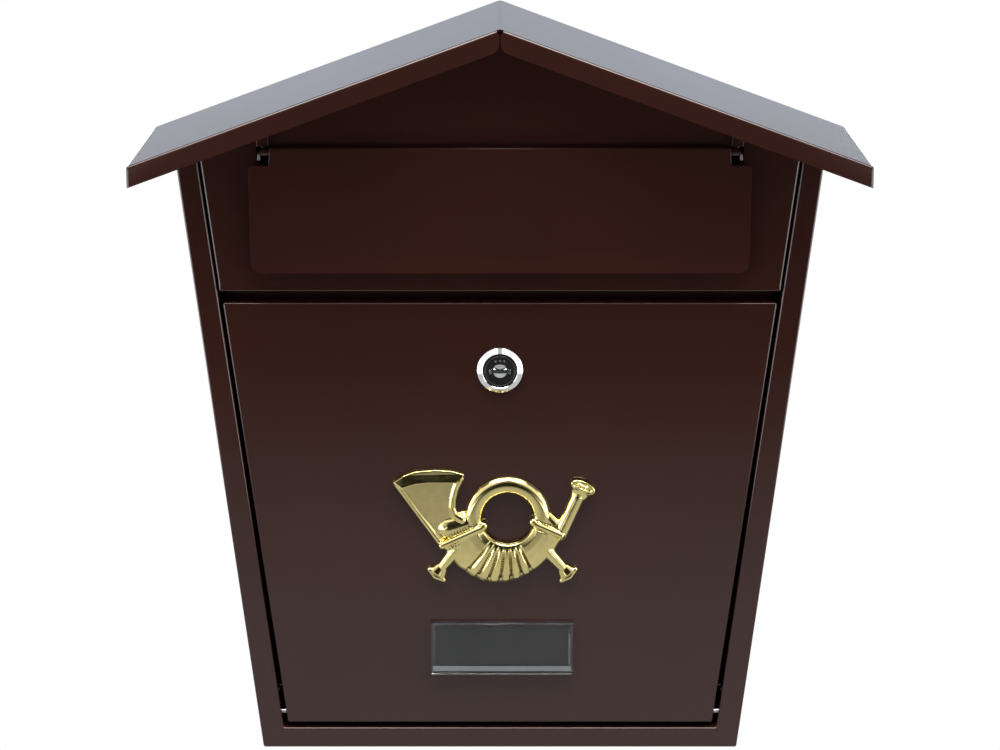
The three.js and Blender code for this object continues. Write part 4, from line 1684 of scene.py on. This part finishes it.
@dataclass
class NamePlate:
    """The clear name holder and the card that slides out of its right end."""

    door: Door
    x: float = 1.0
    z: float = 56.1
    half_width: float = 36.75
    half_height: float = 14.0
    depth: float = 3.5
    peg_x: float = 25.0
    rail_top: float = 4.7

    def _set(self, bm: BMesh) -> BMesh:
        """Moves a mesh from the plate's middle into place."""
        return moved(bm, (self.x, self.door.case.front, self.z))

    def peg_spots(self) -> list[Point]:
        """Returns the x and z of the holder's pegs."""
        return [(self.x + side * self.peg_x, self.z) for side in (-1, 1)]

    def holder(self) -> None:
        """Moulds the clear holder with its card pocket, sunk window and rails."""
        shop = self.door.case.shop
        w, h, front, back = self.half_width, self.half_height, -SEAM - self.depth, -SEAM
        body = shop.object_of("name_plate_holder", self._set(block((-w, front, -h), (w, back, h), 0.4, 3)))
        pocket = self._set(block((1.5 - w, -2.5, 1.6 - h), (w + 1, -1.1, h - 1.6)))
        window = block((2.1 - w, front - 1, 4.9 - h), (w - 1.7, front + 0.55, h - 3.5))
        bent(window, window.edges, 0.3, 2)
        groove = block((1.6 - w, front - 1, h - 1.9), (w - 1.2, front + 0.4, h - 1.2))
        shop.pierced(body, [pocket, self._set(window), self._set(groove)])
        piece = shop.finished(body, Body.DOOR, CLEAR_PLASTIC, Slot.CLEAR, ["name_holder"])
        piece.data.materials.append(shop.paints.of(FROSTED_PLASTIC))
        limit = (shop.place.ground + self.z - h + self.rail_top) * MM
        inside = (self.door.case.front - 1.0) * MM
        for face in piece.data.polygons:
            if face.center.z < limit and face.center.y < inside:
                face.material_index = 1
        for i, side in enumerate((-1, 1)):
            peg = softened(rod((side * self.peg_x, back, 0), (side * self.peg_x, 4.5, 0), 1.2), 0.2)
            made = shop.object_of(f"name_plate_peg_{i + 1}", self._set(peg))
            shop.finished(made, Body.DOOR, CLEAR_PLASTIC, Slot.CLEAR)
        latch = self._set(block((w - 2.2, front - 0.25, -8.4), (w - 0.5, front + 0.5, 8.7), 0.3, 2))
        shop.finished(shop.object_of("name_plate_latch", latch), Body.DOOR, CLEAR_PLASTIC, Slot.CLEAR)
        low, high = (0.9 - w, front - 0.05, 2.1 - h), (w - 0.9, front + 0.4, self.rail_top - h)
        rail = shop.object_of("name_plate_frosted_rail", self._set(block(low, high, 0.15, 2)))
        shop.finished(rail, Body.DOOR, FROSTED_PLASTIC, Slot.CLEAR)

    def card(self) -> None:
        """Cuts the card, with its edges a little worn."""
        shop = self.door.case.shop
        w = self.half_width
        sheet = self._set(block((2 - w, -2.1, -12), (w - 1, -1.5, 12), 0.12, 2))
        piece = shop.object_of("name_plate_card", sheet)
        shop.finished(piece, Body.CARD, GREY_CARD, Slot.CARD, ["name_card"])


# ---------------------------------------------------------------- stage


@dataclass(frozen=True)
class Fade:
    """How a light's strength changes with a direction or a place: low at the start, high at the end."""

    low: float
    high: float
    start: float
    end: float
    smooth: bool = True

    def of(self, tree: bpy.types.NodeTree, source: bpy.types.NodeSocket) -> bpy.types.NodeSocket:
        """Returns the strength for a direction or a place."""
        return spread(tree, source, self.low, self.high, self.start, self.end, self.smooth)


@dataclass
class Studio:
    """A pale floor, a white room and a camera in front of the letter box.

    The camera's sizes are in millimetres. The room's fades are over the directions it is seen in, and
    the floor's are over its places in metres.
    """

    place: Place
    focal_mm: float = 97.67
    sensor_mm: float = 36.0
    pitch_deg: float = 15.0
    distance: float = 1373.2
    aim: float = 202.5
    front_boxes: Fade = Fade(0.04, 1.35, -0.93, -0.6)
    front_gap: Fade = Fade(0.36, 1, 0.1, 0.3)
    front_end: Fade = Fade(1, 0.1, -0.4, -0.05)
    rear_start: Fade = Fade(0, 1, 0.3, 0.8)
    rear_width: Fade = Fade(0.72, 0.48, 0.15, 0.28, False)
    side_boxes: Fade = Fade(0, 5.0, 0.84, 0.94)
    high_box: Fade = Fade(0, 20.0, 0.8, 0.87)
    high_lane: Fade = Fade(0, 1, 0.1, 0.28)
    high_crown: Fade = Fade(0, 1, 0.89, 0.94)
    high_end: Fade = Fade(1, 0.1, -0.15, 0.15)
    floor_half_m: float = 20.0
    floor_front: Fade = Fade(0.03, 0.7, -1.0, -0.12)
    floor_sides: Fade = Fade(0, 4.0, 0.42, 0.7)
    floor_sides_end: Fade = Fade(0, 1, -3.0, -1.8)

    def camera(self) -> None:
        """Sets the camera in front, looking slightly down."""
        data = bpy.data.cameras.new("camera")
        data.lens = self.focal_mm
        data.sensor_width = self.sensor_mm
        data.clip_end = 50
        camera = bpy.data.objects.new("camera", data)
        bpy.context.scene.collection.objects.link(camera)
        pitch = math.radians(self.pitch_deg)
        y = self.place.front - self.distance * math.cos(pitch)
        z = self.place.ground + self.aim + self.distance * math.sin(pitch)
        camera.location = (0, y * MM, z * MM)
        camera.rotation_euler = (math.pi / 2 - pitch, 0, 0)
        bpy.context.scene.camera = camera

    def total(self, tree: bpy.types.NodeTree, *parts: bpy.types.NodeSocket) -> bpy.types.NodeSocket:
        """Returns the sum of several values."""
        whole = parts[0]
        for part in parts[1:]:
            whole = add(tree, "ShaderNodeMath", {0: whole, 1: part}, operation="ADD").outputs[0]
        return whole

    def product(self, tree: bpy.types.NodeTree, *parts: bpy.types.NodeSocket) -> bpy.types.NodeSocket:
        """Returns several values multiplied together."""
        whole = parts[0]
        for part in parts[1:]:
            whole = add(tree, "ShaderNodeMath", {0: whole, 1: part}, operation="MULTIPLY").outputs[0]
        return whole

    def size_of(self, tree: bpy.types.NodeTree, value: bpy.types.NodeSocket) -> bpy.types.NodeSocket:
        """Returns a value without its sign."""
        return add(tree, "ShaderNodeMath", {0: value}, operation="ABSOLUTE").outputs[0]

    def world(self) -> None:
        """Makes the room: softboxes in front, at both sides and high up, and a pale rear."""
        world = bpy.data.worlds.new("room")
        world.use_nodes = True
        tree = world.node_tree
        tree.nodes.clear()
        where = add(tree, "ShaderNodeTexCoord").outputs["Generated"]
        axes = add(tree, "ShaderNodeSeparateXYZ", {0: where}).outputs
        across = self.size_of(tree, axes["X"])
        # two white softboxes stand in front, with a dimmer gap between them above the camera
        front = self.front_boxes.of(tree, axes["Y"])
        gap = self.front_gap.of(tree, across)
        boxes = self.product(tree, front, gap, self.front_end.of(tree, axes["Y"]))
        behind = self.rear_start.of(tree, axes["Y"])
        rear = self.product(tree, behind, self.rear_width.of(tree, across))
        sides = self.side_boxes.of(tree, across)
        # the main softbox hangs high in front, with a dark lane under its crown
        high = self.high_box.of(tree, axes["Z"])
        lane = {0: self.high_lane.of(tree, across), 1: self.high_crown.of(tree, axes["Z"])}
        split = add(tree, "ShaderNodeMath", lane, operation="MAXIMUM").outputs[0]
        above = self.product(tree, high, split, self.high_end.of(tree, axes["Y"]))
        shade = self.total(tree, boxes, rear, sides, above)
        tint = blend_colours(tree, behind, linear("#fbfaf8"), linear("#e4f1ff"))
        room = add(tree, "ShaderNodeBackground", {"Color": tint, "Strength": shade}).outputs[0]
        white = add(tree, "ShaderNodeBackground", {"Strength": 1.0}).outputs[0]
        white.node.inputs["Color"].default_value = (1, 1, 1, 1)
        seen = add(tree, "ShaderNodeLightPath").outputs["Is Camera Ray"]
        mix = add(tree, "ShaderNodeMixShader", {0: seen, 1: room, 2: white}).outputs[0]
        add(tree, "ShaderNodeOutputWorld", {"Surface": mix})
        bpy.context.scene.world = world

    def floor(self) -> None:
        """Lays the pale floor, whose light fades towards the front of the room and grows at its sides."""
        bm = bmesh.new()
        bmesh.ops.create_grid(bm, x_segments=1, y_segments=1, size=self.floor_half_m)
        bmesh.ops.translate(bm, verts=bm.verts, vec=(0, 0, self.place.ground * MM))
        mesh = bpy.data.meshes.new("floor")
        bm.to_mesh(mesh)
        bm.free()
        floor = bpy.data.objects.new("floor", mesh)
        bpy.context.scene.collection.objects.link(floor)
        material = bpy.data.materials.new("pale_floor")
        material.use_nodes = True
        tree = material.node_tree
        tree.nodes.clear()
        where = add(tree, "ShaderNodeTexCoord").outputs["Object"]
        axes = add(tree, "ShaderNodeSeparateXYZ", {0: where}).outputs
        near_light = self.floor_front.of(tree, axes["Y"])
        sides = self.floor_sides.of(tree, self.size_of(tree, axes["X"]))
        # the lit stretches at both sides end beside the camera
        sides = self.product(tree, sides, self.floor_sides_end.of(tree, axes["Y"]))
        shade = self.total(tree, near_light, sides)
        room = add(tree, "ShaderNodeEmission", {"Strength": shade}).outputs[0]
        white = add(tree, "ShaderNodeEmission", {"Strength": 1.0}).outputs[0]
        seen = add(tree, "ShaderNodeLightPath").outputs["Is Camera Ray"]
        mix = add(tree, "ShaderNodeMixShader", {0: seen, 1: room, 2: white}).outputs[0]
        add(tree, "ShaderNodeOutputMaterial", {"Surface": mix})
        mesh.materials.append(material)

    def build(self) -> None:
        """Sets up the whole studio."""
        self.camera()
        self.world()
        self.floor()
        bpy.context.scene.view_settings.view_transform = "Standard"


def main() -> None:
    """Builds the letter box and its studio."""
    logging.basicConfig(level=logging.INFO, format="%(name)s: %(message)s")
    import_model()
    place = Place()
    shop = Workshop(place, Paints())
    Studio(place).build()
    case = Case(shop)
    case.shell()
    case.back_plate()
    case.upper_panel()
    case.roof()
    case.flap_rod()
    MailFlap(case).build()
    door = Door(case)
    for side in (-1, 1):
        case.hinge_tab(side)
        case.door_pin(side, door.half(case.door_pivot[1]))
    plate_parts = NamePlate(door)
    horn = PostHorn(door)
    door.build([*horn.pegs, *plate_parts.peg_spots()])
    for i, (x, z) in enumerate(horn.pegs):
        door.clip(f"horn_clip_{i + 1}", f"emblem_clip_{i + 1}", x, z)
    for i, (x, z) in enumerate(plate_parts.peg_spots()):
        door.clip(f"plate_clip_{i + 1}", f"holder_clip_{i + 1}", x, z)
    CamLock(door).build()
    plate_parts.holder()
    plate_parts.card()
    horn.build()
    log.info("%d pieces", shop.count)


if __name__ == "__main__":
    main()
